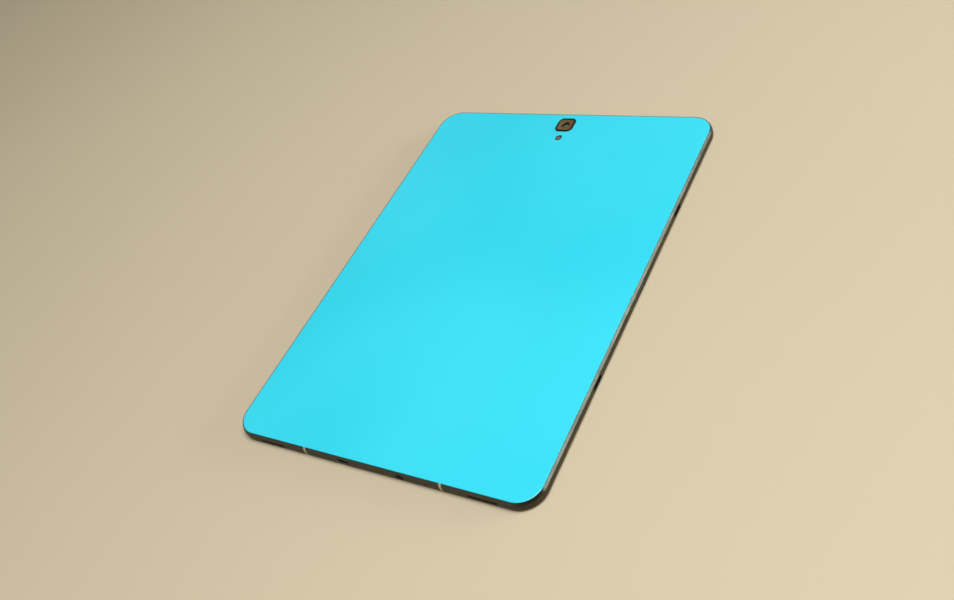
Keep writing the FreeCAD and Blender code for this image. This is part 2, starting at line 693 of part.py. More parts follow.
def board_pieces():
    """Both boards with their chips, shield cans, ribbon, antenna cables and screws."""
    chips = []
    for area in CAN_AREAS:
        chips.extend(chips_under(*area))
    return {
        "mainboard": mainboard(),
        "usb_board": usb_board(),
        "board_chips": group(chips),
        "shield_cans": group([shield_can(*area) for area in CAN_AREAS]),
        "main_flex": main_flex(),
        "antenna_coax": group([coax(x) for x in COAX_X]),
        "screws": group([screw(*place) for place in SCREWS]),
    }


def main_flex():
    """The long ribbon beside the battery that links the two boards."""
    height = (LOW_Z, LOW_Z + FLEX_T)
    low_y = USB_STRIP[1][1] - 7.0
    run = block(MAIN_FLEX_X, (low_y, MAIN_STRIP[1][0] + 6.0), height)
    foot = block((MAIN_FLEX_X[0], USB_STRIP[0][0] + 5.0), (low_y, USB_STRIP[1][1] - 1.0), height)
    return joined([run, foot])


def coax(x):
    """A thin antenna cable beside the battery that turns once towards the lower board."""
    turn_y = COAX_TURN_Y - (x - COAX_X[0])
    centre = V(x - COAX_BEND, turn_y, COAX_Z)
    start = V(x, COAX_START_Y, COAX_Z)
    bend_in = V(x, turn_y, COAX_Z)
    half = COAX_BEND * math.sqrt(0.5)
    bend_out = centre + V(0, -COAX_BEND, 0)
    arc = Part.Arc(bend_in, centre + V(half, -half, 0), bend_out).toShape()
    end = V(COAX_END_X, bend_out.y, COAX_Z)
    path = Part.Wire([Part.makeLine(start, bend_in), arc, Part.makeLine(bend_out, end)])
    profile = Part.Wire(Part.makeCircle(COAX_R, start, ACROSS_Y))
    return path.makePipeShell([profile], True, True)


def screw(x, y):
    """A small flat-headed screw with a cross slot."""
    head = disc(SCREW_HEAD_R, (PART_Z, PART_Z + SCREW_HEAD_T), x, y)
    shank = disc(SCREW_R, (MID_Z[0] + 0.05, PART_Z + 0.1), x, y)
    reach, half_width, depth = CROSS
    slot_z = (PART_Z + SCREW_HEAD_T - depth, THICKNESS)
    cross = [
        block((x - reach, x + reach), (y - half_width, y + half_width), slot_z),
        block((x - half_width, x + half_width), (y - reach, y + reach), slot_z),
    ]
    return joined([head, shank]).cut(cross)


def battery_pieces():
    """Two flat cells side by side on adhesive, with the protection board at their top end."""
    cells = []
    pads = []
    length = BATTERY_Y[1] - BATTERY_Y[0]
    middle_y = sum(BATTERY_Y) / 2
    for low, high in BATTERY_X:
        middle_x = (low + high) / 2
        cell = plate(high - low, length, BATTERY_R, BATTERY_Z, middle_x, middle_y)
        cells.append(rounded_at(cell, BATTERY_Z[1], BATTERY_ROUND))
        pad_w = high - low - 2 * BATTERY_GLUE_IN[0]
        pads.append(plate(pad_w, length - 2 * BATTERY_GLUE_IN[1], 1.0, BATTERY_GLUE_Z, middle_x, middle_y))
    lead_z = PART_Z + TOUCH
    lead = joined([
        block(LEAD_X, LEAD_Y, (lead_z, lead_z + FLEX_T)),
        block(LEAD_X, (LEAD_Y[0], PROTECTION[1][1] - 0.2), (PROTECTION[2][1] + TOUCH, lead_z + TOUCH)),
    ])
    return {
        "battery_cells": group(cells),
        "battery_adhesive": group(pads),
        "battery_board": group([block(*PROTECTION), lead]),
    }


# ---- Ports and sound, bottom and top edges ----

def usb_port_pieces():
    """The charging port: metal shell, centre tongue and its two rows of contacts."""
    width, height, depth = USB_SIZE
    front = -HALF_L + USB_FRONT
    back = front + depth
    inside = (width - 2 * USB_WALL, height - 2 * USB_WALL)
    shell = slot_along_y(width, height, (front, back), USB_X, PORT_Z)
    room = slot_along_y(*inside, (front - PAST, back + PAST), USB_X, PORT_Z)
    base_y = (back - 0.1 - USB_BASE_L, back - 0.1)
    base = slot_along_y(inside[0] - 2 * TOUCH, inside[1] - 2 * TOUCH, base_y, USB_X, PORT_Z)
    tongue_y = (front + 0.9, base_y[0] + 0.1)
    tongue = block(around(USB_X, USB_TONGUE[0]), tongue_y, around(PORT_Z, USB_TONGUE[1]))
    pad_w, pad_l, pad_t = USB_PAD
    pad_y = (front + 1.2, front + 1.2 + pad_l)
    half_t = USB_TONGUE[1] / 2
    pads = []
    for index in range(USB_PADS):
        x = USB_X + (index - (USB_PADS - 1) / 2) * USB_PAD_PITCH
        for low in (PORT_Z - half_t - pad_t, PORT_Z + half_t):
            pads.append(block(around(x, pad_w), pad_y, (low, low + pad_t)))
    return {"usb_shell": shell.cut(room), "usb_tongue": joined([base, tongue]), "usb_contacts": group(pads)}


def jack_pieces():
    """The headphone jack: a moulded body with a round nose, and its spring contacts."""
    width, height, length = JACK_BODY
    front = -HALF_L + JACK_FRONT
    shoulder = -HALF_L + JACK_SHOULDER
    nose = rod_along_y(JACK_BORE_R + JACK_WALL, (front, shoulder + 0.1), JACK_X, PORT_Z)
    body = block(around(JACK_X, width), (shoulder, shoulder + length), around(PORT_Z, height))
    bore = rod_along_y(JACK_BORE_R, (front - PAST, front + JACK_BORE_L), JACK_X, PORT_Z)
    thickness, spring_l, spring_h = JACK_SPRING
    windows = []
    springs = []
    for index, side in enumerate((1, -1, 1)):
        y = shoulder + 2.0 + JACK_SPRING_PITCH * index
        window_x = sorted((JACK_X + side * 1.0, JACK_X + side * 2.3))
        spring_x = around(JACK_X + side * (JACK_BORE_R + 0.15), thickness)
        windows.append(block(window_x, (y, y + spring_l + 0.2), around(PORT_Z, spring_h + 0.1)))
        springs.append(block(spring_x, (y + 0.1, y + 0.1 + spring_l), around(PORT_Z, spring_h)))
    return {"jack_body": joined([nose, body]).cut([bore] + windows), "jack_contacts": group(springs)}


def speaker_module():
    """One speaker box for the corner at +X, +Y, with an ear for its screw."""
    width, depth = SPEAKER_BOX
    back_y = HALF_L - WALL_IN - SPEAKER_BACK
    body = plate(width, depth, 1.5, SPEAKER_Z, SPEAKER_X, back_y - depth / 2)
    ear_x = (SPEAKER_X + width / 2 - PAST, SPEAKER_SCREW[0] + 2.5)
    ear = block(ear_x, around(SPEAKER_SCREW[1], 6.0), BOARD_Z)
    return joined([body, ear]).cut(disc(SCREW_HOLE_R, (0, THICKNESS), *SPEAKER_SCREW))


def sound_pieces():
    """Four speakers behind their slots, the dust meshes, and the two microphones."""
    mesh_back = HALF_L - WALL_IN - 0.05
    mesh_size = (GRILLE[0] + 2 * GRILLE_MESH_LAP, GRILLE[1] + 2 * GRILLE_MESH_LAP)
    mesh = slot_along_y(*mesh_size, (mesh_back - GRILLE_MESH_T, mesh_back), SPEAKER_X, PORT_Z)
    width, depth, height = MIC_BODY
    mic_back = HALF_L - WALL_IN - MIC_BACK
    mic_z = (LOW_Z, LOW_Z + height)
    microphones = [
        block(around(BOTTOM_MIC_X, width), (-mic_back, -mic_back + depth), mic_z),
        block(around(TOP_MIC_X, width), (mic_back - depth, mic_back), mic_z),
    ]
    return {
        "speaker_modules": group(mirrored([speaker_module()], ACROSS_X, ACROSS_Y)),
        "speaker_meshes": group(mirrored([mesh], ACROSS_X, ACROSS_Y)),
        "microphones": group(microphones),
    }


# ---- Dock side ----

def dock_pieces():
    """The contact strip for a keyboard cover, its ribbon and the magnets behind the slots."""
    strip_x = (HALF_W - DOCK_RECESS - DOCK_STRIP_T, HALF_W - DOCK_RECESS)
    pad_x = (strip_x[0] - 0.15, HALF_W - DOCK_PAD_RECESS)
    holder = slot_along_x(DOCK_STRIP[0] - 0.06, DOCK_STRIP[1] - 0.06, strip_x, 0, PORT_Z)
    holes = []
    pads = []
    for index in range(DOCK_PADS):
        y = (index - (DOCK_PADS - 1) / 2) * DOCK_PITCH
        holes.append(rod_along_x(DOCK_PAD_R + TOUCH, (strip_x[0] - PAST, strip_x[1] + PAST), y, PORT_Z))
        pads.append(rod_along_x(DOCK_PAD_R, pad_x, y, PORT_Z))
    back = pad_x[0] - 0.05
    ribbon = joined([
        block((back - FLEX_T, back), around(0, DOCK_STRIP[0] + 1.5), around(PORT_Z, 2.0)),
        block((back - 1.6, back), (6.0, MAIN_STRIP[1][0] + 6.0), (LOW_Z, LOW_Z + FLEX_T)),
    ])
    thickness, length, height = MAGNET
    magnet_x = (HALF_W - WALL_IN - 0.1 - thickness, HALF_W - WALL_IN - 0.1)
    magnet = block(magnet_x, around(ALIGN_Y, length), (PORT_Z - 0.05, PORT_Z - 0.05 + height))
    return {
        "dock_contact_holder": holder.cut(holes),
        "dock_contacts": group(pads),
        "dock_flex": ribbon,
        "dock_magnets": group(mirrored([magnet], ACROSS_Y)),
    }


# ---- Key side ----

def key(y, length, flange_length, stems):
    """A side key: a rounded cap through the wall, a flange that keeps it in, and its stems."""
    cap = slot_along_x(length, KEY_H, (KEY_FACE, FLANGE_X[1]), y, PORT_Z)
    cap = cap.makeFillet(KEY_ROUND, edges_at(cap, ACROSS_X, KEY_FACE))
    flange = slot_along_x(flange_length, KEY_H + 1.1, FLANGE_X, y, PORT_Z)
    pins = [slot_along_x(*KEY_STEM, (FLANGE_X[0], STEM_X), y + offset, PORT_Z) for offset in stems]
    return joined([cap, flange] + pins)


def side_key_pieces():
    """The power key, the volume rocker, their three dome switches and the flex that carries them."""
    places = [POWER_Y] + [VOLUME_Y + offset for offset in VOLUME_STEMS]
    domes = [rod_along_x(DOME_R, DOME_X, y, PORT_Z) for y in places]
    carrier_y = (VOLUME_Y + VOLUME_STEMS[0] - 3.0, POWER_Y + 4.0)
    return {
        "power_key": key(POWER_Y, POWER_L, POWER_L + 1.6, (0,)),
        "volume_key": key(VOLUME_Y, VOLUME_L, 8.0, VOLUME_STEMS),
        "side_key_switches": group(domes),
        "side_key_flex": block((DOME_X[1], DOME_X[1] + 0.5), carrier_y, (2.70, 4.30)),
    }


def card_tray_pieces():
    """The sliding card tray with its sealing ring, and the metal socket it slides into."""
    width, length, thickness = TRAY_BODY
    face_x = (-HALF_W + 0.05, INNER_WALL - 0.2)
    body_x = (face_x[1], face_x[1] + length)
    body_y = around(TRAY_Y, width)
    height = around(TRAY_Z, thickness)
    face = slot_along_x(*TRAY_FACE, face_x, TRAY_Y, TRAY_Z)
    body = block((body_x[0] - 0.1, body_x[1]), body_y, height)
    pocket_x = (body_x[0] + 3.5, body_x[1] - 1.5)
    pocket = block(pocket_x, around(TRAY_Y, TRAY_POCKET_W), (height[0] + TRAY_FLOOR, THICKNESS))
    pin_hole = rod_along_x(PIN_HOLE_R, (-HALF_W - PAST, -HALF_W + 3.0), body_y[1] - 1.2, TRAY_Z)

    seal_x = (body_x[0], body_x[0] + TRAY_SEAL_T)
    seal = slot_along_x(TRAY_FACE[0] - 0.5, TRAY_FACE[1] - 0.2, seal_x, TRAY_Y, TRAY_Z)

    socket_x = (INNER_WALL + 1.0, body_x[1] + 0.9)
    shell = block(socket_x, around(TRAY_Y, width + 1.6), SOCKET_Z)
    room = block((socket_x[0] - PAST, socket_x[1] - 0.4), around(TRAY_Y, width + 0.6), SOCKET_ROOM_Z)
    return {
        "card_tray": joined([face, body]).cut([pocket, pin_hole]),
        "card_tray_seal": seal.cut(block((-HALF_W, 0), body_y, height)),
        "card_socket": shell.cut(room),
    }


def main():
    """Make every piece and write one file for each."""
    os.makedirs("parts", exist_ok=True)
    makers = (
        frame_pieces, front_pieces, home_key_pieces, back_pieces, camera_deco_pieces,
        rear_camera_pieces, flash_pieces, front_sensor_pieces, board_pieces, battery_pieces,
        usb_port_pieces, jack_pieces, sound_pieces, dock_pieces, side_key_pieces, card_tray_pieces,
    )
    for maker in makers:
        for name, shape in maker().items():
            shape.exportStep(f"parts/{name}.step")
            print(f"{name}: {len(shape.Solids)} solids, {shape.Volume:.1f} mm3, valid {shape.isValid()}")


main()
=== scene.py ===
"""The looks of a thin tablet computer that lies screen down on a pale floor."""

import json
import math

import bmesh
import bpy
from mathutils import Matrix, Vector


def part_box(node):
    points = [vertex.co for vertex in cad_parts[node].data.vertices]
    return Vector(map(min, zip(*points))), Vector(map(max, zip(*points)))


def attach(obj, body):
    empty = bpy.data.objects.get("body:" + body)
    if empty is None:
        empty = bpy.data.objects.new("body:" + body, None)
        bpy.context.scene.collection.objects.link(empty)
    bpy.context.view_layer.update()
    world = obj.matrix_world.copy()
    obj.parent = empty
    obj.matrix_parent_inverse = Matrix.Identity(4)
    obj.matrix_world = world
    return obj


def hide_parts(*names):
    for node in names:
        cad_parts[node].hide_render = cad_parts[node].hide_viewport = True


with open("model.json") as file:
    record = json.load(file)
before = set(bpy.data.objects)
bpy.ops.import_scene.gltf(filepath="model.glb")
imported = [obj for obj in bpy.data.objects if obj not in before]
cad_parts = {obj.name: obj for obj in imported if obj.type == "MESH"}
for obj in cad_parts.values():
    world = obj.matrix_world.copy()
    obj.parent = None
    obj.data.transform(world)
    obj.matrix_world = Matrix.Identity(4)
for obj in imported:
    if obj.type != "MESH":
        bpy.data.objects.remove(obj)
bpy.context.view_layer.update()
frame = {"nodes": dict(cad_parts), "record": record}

MM = 0.001

# Sizes read from the frame, in millimetres
GLASS_LOW, GLASS_HIGH = (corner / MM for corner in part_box("front_glass"))
COVER_LOW, COVER_HIGH = (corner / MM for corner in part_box("back_cover"))
SIDE_LOW, SIDE_HIGH = (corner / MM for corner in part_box("frame_dock_side"))
DECO_LOW, DECO_HIGH = (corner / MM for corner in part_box("camera_deco_ring"))
FLASH_LOW, FLASH_HIGH = (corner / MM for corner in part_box("flash_ring"))
HALF_W = SIDE_HIGH.x
HALF_L = SIDE_HIGH.y
BACK_Z = COVER_HIGH.z
BAR_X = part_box("frame_top_bar")[1].x / MM
CUT_X = SIDE_LOW.x

# The frame's section: insets from the side wall, the shoulder's height from the nearer face, and the
# ledges' heights from the front
CORNER_R = 12.0
SHOULDER_IN = 1.05
SHOULDER_Z = 1.40
RIM_FLAT = 0.15
CROWN_IN = 0.12
WALL_IN = 2.20
LEDGE_LOW_Z = 0.80
LEDGE_HIGH_Z = 5.30
GLASS_EDGE_IN = SHOULDER_IN + 0.05
TOUCH = 0.02

# Openings in the wall: lengths and heights, the broken edge, and the depth of a cutter that goes through
LIP = 0.12
THROUGH = 4.0
PORT_Z = BACK_Z / 2
GRILLE = (15.0, 1.3)
GRILLE_LAP = 0.4
PORT_FIT = 0.1
JACK_HOLE = 4.2
MICROPHONE_HOLE = 1.0
BOTTOM_MICROPHONE_X = 30.0
TOP_MICROPHONE_X = -12.0
DOCK_STRIP = (14.5, 2.4)
ALIGN_LENGTH, ALIGN_HEIGHT, ALIGN_DEPTH = 8.3, 2.0, 1.4
MAGNET_LENGTH = 18.0

# Keys and card tray
KEY_LENGTH = {"power_key": 10.0, "volume_key": 24.0}
KEY_HEIGHT = 2.2
KEY_CLEAR = 0.3
FLANGE_LENGTH = {"power_key": 11.6, "volume_key": 8.0}
FLANGE_HALF_HEIGHT = 1.64
STEM_PLACES = {"power_key": (0,), "volume_key": (-8.0, 8.0)}
HOME_CAP = (18.0, 6.2)
HOME_CLEAR = 0.4
TRAY_FACE = (16.0, 2.0)
TRAY_CLEAR = 0.2
TRAY_BODY = (14.0, 1.0)
TRAY_RIM = 1.5
TRAY_LEDGE = 2.6
PIN_FROM_MIDDLE = 5.8
PIN_R = 0.42

# Camera and flash on the tablet's back
DECO_R = 3.0
BARREL_R = 2.70
BARREL_LOW_Z = 3.62
ELEMENT_R = 2.02
ELEMENT_Z = 5.0
ELEMENT_RISE = 0.40
FLASH_RING_LOW_Z, FLASH_RING_TOP_Z = 5.32, 6.04
FLASH_RIDGES = 5
FLASH_PITCH = 0.22

# Headphone jack: its block, round nose and bore
JACK_BLOCK = (5.2, 4.2)
JACK_SHOULDER = 2.3
JACK_NOSE_R = 2.07
JACK_BORE_R = 1.8
JACK_BORE_DEPTH = 14.0

MIRROR_X = Matrix.Scale(-1, 4, Vector((1, 0, 0)))

# The view: place and target in metres, roll, and focal length in millimetres
CAMERA_PLACE = Vector((0.2617, -0.2604, 0.3290))
CAMERA_TARGET = Vector((0.0070, -0.0200, 0.0060))
CAMERA_ROLL = math.radians(27.6)
CAMERA_LENS = 36.96


# ---- Mesh building ----

def soften(corners, steps=5):
    """A closed outline whose corners, given as (x, y, radius), are rounded."""
    outline = []
    for index, (x, y, radius) in enumerate(corners):
        here = Vector((x, y))
        before = (Vector(corners[index - 1][:2]) - here).normalized()
        after = (Vector(corners[(index + 1) % len(corners)][:2]) - here).normalized()
        half = before.angle(after) / 2
        if radius <= 0 or half > math.radians(89.5):
            outline.append((x, y))
            continue
        reach = radius / math.tan(half)
        centre = here + (before + after).normalized() * radius / math.sin(half)
        start = here + before * reach - centre
        end = here + after * reach - centre
        turn = start.angle_signed(end)
        for step in range(steps + 1):
            spoke = start.copy()
            spoke.rotate(Matrix.Rotation(-turn * step / steps, 2))
            outline.append(tuple(centre + spoke))
    return outline


def rounded_path(half_x, half_y, radius, steps):
    """Stations round a rounded rectangle, each a point and its outward direction."""
    stations = []
    for turn, (side_x, side_y) in enumerate(((1, 1), (-1, 1), (-1, -1), (1, -1))):
        centre = (side_x * (half_x - radius), side_y * (half_y - radius))
        for step in range(steps + 1):
            angle = math.radians(90 * turn + 90 * step / steps)
            normal = (math.cos(angle), math.sin(angle))
            stations.append(((centre[0] + radius * normal[0], centre[1] + radius * normal[1]), normal))
    return stations


def line_path(start, end, normal, steps):
    """Stations along a straight stretch."""
    stations = []
    for step in range(steps + 1):
        share = step / steps
        point = (start[0] + (end[0] - start[0]) * share, start[1] + (end[1] - start[1]) * share)
        stations.append((point, normal))
    return stations


def sweep(path, profile, closed):
    """Vertices and faces of a closed (inset, height) profile carried along a path."""
    verts = [(x - nx * inset, y - ny * inset, z) for (x, y), (nx, ny) in path for inset, z in profile]
    count = len(profile)
    faces = []
    spans = len(path) if closed else len(path) - 1
    for station in range(spans):
        a = station * count
        b = (station + 1) % len(path) * count
        for point in range(count):
            following = (point + 1) % count
            faces.append((a + point, b + point, b + following, a + following))
    if not closed:
        faces.append(tuple(range(count)))
        faces.append(tuple(range(len(verts) - 1, len(verts) - count - 1, -1)))
    return verts, faces


def slab(path, profile):
    """A solid plate or button: an open (inset, height) profile round a path, closed at both ends."""
    verts = [(x - nx * inset, y - ny * inset, z) for (x, y), (nx, ny) in path for inset, z in profile]
    count = len(profile)
    faces = []
    for station in range(len(path)):
        a = station * count
        b = (station + 1) % len(path) * count
        for point in range(count - 1):
            faces.append((a + point, b + point, b + point + 1, a + point + 1))
    faces.append(tuple(station * count for station in reversed(range(len(path)))))
    faces.append(tuple(station * count + count - 1 for station in range(len(path))))
    return verts, faces


def joined(*shapes):
    """Several (vertices, faces) shapes as one."""
    verts, faces = [], []
    for more_verts, more_faces in shapes:
        start = len(verts)
        verts.extend(more_verts)
        faces.extend(tuple(start + index for index in face) for face in more_faces)
    return verts, faces


def placed(shape, matrix):
    """A shape moved by a matrix, with its faces turned round if the matrix mirrors."""
    verts, faces = shape
    moved = [tuple(matrix @ Vector(vert)) for vert in verts]
    if matrix.determinant() < 0:
        faces = [tuple(reversed(face)) for face in faces]
    return moved, faces


def mesh_object(name, shape):
    """A Blender object from a shape in millimetres, with its faces turned outwards."""
    verts, faces = shape
    mesh = bpy.data.meshes.new(name)
    mesh.from_pydata([[value * MM for value in vert] for vert in verts], [], faces)
    work = bmesh.new()
    work.from_mesh(mesh)
    bmesh.ops.remove_doubles(work, verts=work.verts, dist=1e-7)
    bmesh.ops.recalc_face_normals(work, faces=work.faces)
    work.to_mesh(mesh)
    work.free()
    piece = bpy.data.objects.new(name, mesh)
    bpy.context.scene.collection.objects.link(piece)
    return piece


def carve(piece, *cutters):
    """Takes cutter shapes out of a piece and keeps the plain result."""
    for cutter in cutters:
        tool = mesh_object("cutter", cutter)
        change = piece.modifiers.new("carve", "BOOLEAN")
        change.operation = "DIFFERENCE"
        change.solver = "EXACT"
        change.object = tool
        bpy.context.view_layer.update()
        result = bpy.data.meshes.new_from_object(piece.evaluated_get(bpy.context.evaluated_depsgraph_get()))
        piece.modifiers.clear()
        piece.data = result
        bpy.data.objects.remove(tool)


def finish_piece(piece, body, materials, replaces=()):
    """Shading, materials and the body that the piece moves with."""
    mesh = piece.data
    mesh.materials.clear()
    for material in materials:
        mesh.materials.append(material)
    mesh.polygons.foreach_set("use_smooth", [True] * len(mesh.polygons))
    mesh.set_sharp_from_angle(angle=math.radians(30))
    weighted = piece.modifiers.new("weighted normals", "WEIGHTED_NORMAL")
    weighted.keep_sharp = True
    weighted.weight = 60
    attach(piece, body)
    if replaces:
        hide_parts(*replaces)


def wall_opening(length, height, depth=THROUGH, lip=LIP, radius=None):
    """A cutter for a slot through a wall: it stands on the wall's face, +Z outwards, with a broken edge."""
    radius = min(length, height) / 2 - 0.001 if radius is None else radius
    path = rounded_path(length / 2, height / 2, radius, 10)
    return slab(path, [(0, -depth), (0, -lip), (-lip, 0), (-lip - 0.6, 0.6)])


def on_bottom(x, z):
    """From a wall's own frame to the bottom edge: outwards is -Y."""
    return Matrix(((1, 0, 0, x), (0, 0, -1, -HALF_L), (0, 1, 0, z), (0, 0, 0, 1)))


def on_top(x, z):
    """From a wall's own frame to the top edge: outwards is +Y."""
    return Matrix(((-1, 0, 0, x), (0, 0, 1, HALF_L), (0, 1, 0, z), (0, 0, 0, 1)))


def on_dock_side(y, z):
    """From a wall's own frame to the dock side: outwards is +X."""
    return Matrix(((0, 0, 1, HALF_W), (1, 0, 0, y), (0, 1, 0, z), (0, 0, 0, 1)))


def on_key_side(y, z):
    """From a wall's own frame to the key side: outwards is -X."""
    return Matrix(((0, 0, -1, -HALF_W), (-1, 0, 0, y), (0, 1, 0, z), (0, 0, 0, 1)))


def centre_of(node):
    """The middle of a CAD node's box, in millimetres."""
    low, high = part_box(node)
    return (low + high) / 2 / MM


# ---- Frame ----

def frame_profile():
    """The frame's section: crowned wall, flat polished shoulders, narrow rims and a ledge for each glass."""
    middle = BACK_Z / 2
    reach = middle - SHOULDER_Z
    crown = [(CROWN_IN * (step / 2) ** 2, middle + reach * step / 2, 0) for step in (-1, 0, 1)]
    return soften([
        (SHOULDER_IN, SIDE_LOW.z, 0),
        (SHOULDER_IN - RIM_FLAT, SIDE_LOW.z, 0.06),
        (CROWN_IN, SHOULDER_Z, 0.22),
        *crown,
        (CROWN_IN, BACK_Z - SHOULDER_Z, 0.22),
        (SHOULDER_IN - RIM_FLAT, SIDE_HIGH.z, 0.06),
        (SHOULDER_IN, SIDE_HIGH.z, 0),
        (SHOULDER_IN, LEDGE_HIGH_Z, 0),
        (WALL_IN, LEDGE_HIGH_Z, 0.1),
        (WALL_IN, LEDGE_LOW_Z, 0.1),
        (SHOULDER_IN, LEDGE_LOW_Z, 0),
    ])


def side_path():
    """From the cut in the top edge, round both corners of the dock side, to the cut in the bottom edge."""
    inner_x = HALF_W - CORNER_R
    inner_y = HALF_L - CORNER_R
    path = line_path((CUT_X, HALF_L), (inner_x, HALF_L), (0, 1), 2)[:-1]
    for centre_y, start in ((inner_y, 90), (-inner_y, 0)):
        for step in range(33):
            angle = math.radians(start - 90 * step / 32)
            normal = (math.cos(angle), math.sin(angle))
            path.append(((inner_x + CORNER_R * normal[0], centre_y + CORNER_R * normal[1]), normal))
    return path + line_path((inner_x, -HALF_L), (CUT_X, -HALF_L), (0, -1), 2)[1:]


def polish_shoulders(piece):
    """Gives the sloped shoulders the second material."""
    for face in piece.data.polygons:
        height = face.center.z / MM
        on_shoulder = height < SHOULDER_Z + 0.1 or height > BACK_Z - SHOULDER_Z - 0.1
        if on_shoulder and 0.25 < abs(face.normal.z) < 0.85:
            face.material_index = 1


def shade_alignment_slots(piece):
    """Paints the walls and floors of the two blind alignment slots with the third material, near-black:
    painted shade in the recesses.
    """
    slot_y = alignment_y()
    for face in piece.data.polygons:
        x, y, z = face.center / MM
        sunk = HALF_W - ALIGN_DEPTH - 0.05 < x < HALF_W - 0.2
        along = abs(abs(y) - slot_y) < ALIGN_LENGTH / 2 + 0.1
        across = abs(z - PORT_Z) < ALIGN_HEIGHT / 2 + 0.1
        if sunk and along and across:
            face.material_index = 2


def build_side_pieces(side_finish, polish_finish, slot_shade_finish):
    """The two long side pieces, which reach round the corners as far as the antenna bands."""
    side = sweep(side_path(), frame_profile(), closed=False)
    grille = wall_opening(*GRILLE)
    grille_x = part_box("speaker_meshes")[1].x / MM - GRILLE[0] / 2 - GRILLE_LAP
    for name, shape, sign in (
        ("frame_dock_side", side, 1),
        ("frame_key_side", placed(side, MIRROR_X), -1),
    ):
        piece = mesh_object("visual_" + name, shape)
        cutters = [placed(grille, end(sign * grille_x, PORT_Z)) for end in (on_bottom, on_top)]
        cutters += dock_side_openings() if sign > 0 else key_side_openings()
        carve(piece, joined(*cutters))
        finish_piece(piece, "tablet", [side_finish, polish_finish, slot_shade_finish], [name])
        polish_shoulders(piece)
        # The dock side's blind alignment slots get painted shade: their walls and floors are near-black.
        if sign > 0:
            shade_alignment_slots(piece)


def build_bars(side_finish, polish_finish):
    """The short bars between the antenna bands at the top and the bottom."""
    for name, sign, openings in (
        ("frame_top_bar", 1, top_openings()),
        ("frame_bottom_bar", -1, bottom_openings()),
    ):
        path = line_path((-BAR_X, sign * HALF_L), (BAR_X, sign * HALF_L), (0, sign), 4)
        piece = mesh_object("visual_" + name, sweep(path, frame_profile(), closed=False))
        carve(piece, joined(*openings))
        finish_piece(piece, "tablet", [side_finish, polish_finish], [name])
        polish_shoulders(piece)


def build_bands(finish):
    """The four antenna bands, with the frame's own section."""
    bands = []
    for side_x in (-1, 1):
        for side_y in (-1, 1):
            start = (side_x * (BAR_X + TOUCH), side_y * HALF_L)
            end = (side_x * (CUT_X - TOUCH), side_y * HALF_L)
            bands.append(sweep(line_path(start, end, (0, side_y), 1), frame_profile(), closed=False))
    piece = mesh_object("visual_antenna_bands", joined(*bands))
    finish_piece(piece, "tablet", [finish], ["antenna_bands"])


def bottom_openings():
    """Charging port, headphone jack and microphone."""
    low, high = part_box("usb_shell")
    port = wall_opening((high.x - low.x) / MM + PORT_FIT, (high.z - low.z) / MM + PORT_FIT)
    jack = wall_opening(JACK_HOLE, JACK_HOLE)
    hole = wall_opening(MICROPHONE_HOLE, MICROPHONE_HOLE)
    return [
        placed(port, on_bottom(centre_of("usb_shell").x, PORT_Z)),
        placed(jack, on_bottom(centre_of("jack_body").x, PORT_Z)),
        placed(hole, on_bottom(BOTTOM_MICROPHONE_X, PORT_Z)),
    ]


def top_openings():
    """The second microphone."""
    return [placed(wall_opening(MICROPHONE_HOLE, MICROPHONE_HOLE), on_top(TOP_MICROPHONE_X, PORT_Z))]


def dock_side_openings():
    """The contact strip's slot and the two blind alignment slots."""
    slot = wall_opening(ALIGN_LENGTH, ALIGN_HEIGHT, ALIGN_DEPTH)
    return [
        placed(wall_opening(*DOCK_STRIP), on_dock_side(0, PORT_Z)),
        placed(slot, on_dock_side(-alignment_y(), PORT_Z)),
        placed(slot, on_dock_side(alignment_y(), PORT_Z)),
    ]


def alignment_y():
    """The distance of each alignment slot from the middle of the dock side: its magnet's middle."""
    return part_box("dock_magnets")[1].y / MM - MAGNET_LENGTH / 2


def key_side_openings():
    """Slots for the power key, the volume rocker and the card tray."""
    openings = []
    for node in ("power_key", "volume_key"):
        slot = wall_opening(KEY_LENGTH[node] + KEY_CLEAR, KEY_HEIGHT + KEY_CLEAR)
        openings.append(placed(slot, on_key_side(centre_of(node).y, PORT_Z)))
    tray = centre_of("card_tray")
    slot = wall_opening(TRAY_FACE[0] + TRAY_CLEAR, TRAY_FACE[1] + TRAY_CLEAR, lip=LIP / 2)
    openings.append(placed(slot, on_key_side(tray.y, tray.z)))
    return openings


# ---- Glass ----

def glass_sheet(low, high, edge_radius):
    """A sheet with the tablet's outline whose outer edge, at height high, is rounded off."""
    path = rounded_path(HALF_W, HALF_L, CORNER_R, 32)
    sign = 1 if high > low else -1
    centre = (GLASS_EDGE_IN + edge_radius, high - sign * edge_radius)
    rounding = [
        (centre[0] - edge_radius * math.cos(math.radians(angle)),
         centre[1] + sign * edge_radius * math.sin(math.radians(angle)))
        for angle in range(0, 91, 10)
    ]
    profile = [(GLASS_EDGE_IN + 0.08, low), (GLASS_EDGE_IN, low + sign * 0.08), *rounding]
    inner = [(GLASS_EDGE_IN + extra, high) for extra in (edge_radius + 0.6, edge_radius + 6.0)]
    return slab(path, profile + inner)


def build_back_cover(finish):
    """The coloured back glass, with its openings for the camera and the flash."""
    piece = mesh_object("visual_back_cover", glass_sheet(COVER_LOW.z, COVER_HIGH.z, 0.32))
    camera = wall_opening(DECO_HIGH.x * 2 + 0.1, DECO_HIGH.x * 2 + 0.1, 2.0, 0.06, DECO_R + 0.05)
    flash = wall_opening(FLASH_HIGH.x * 2 + 0.1, FLASH_HIGH.y - FLASH_LOW.y + 0.1, 2.0, 0.05)
    camera_at = Matrix.Translation((0, (DECO_LOW.y + DECO_HIGH.y) / 2, BACK_Z))
    flash_at = Matrix.Translation((0, (FLASH_LOW.y + FLASH_HIGH.y) / 2, BACK_Z))
    carve(piece, joined(placed(camera, camera_at), placed(flash, flash_at)))
    finish_piece(piece, "tablet", [finish], ["back_cover"])


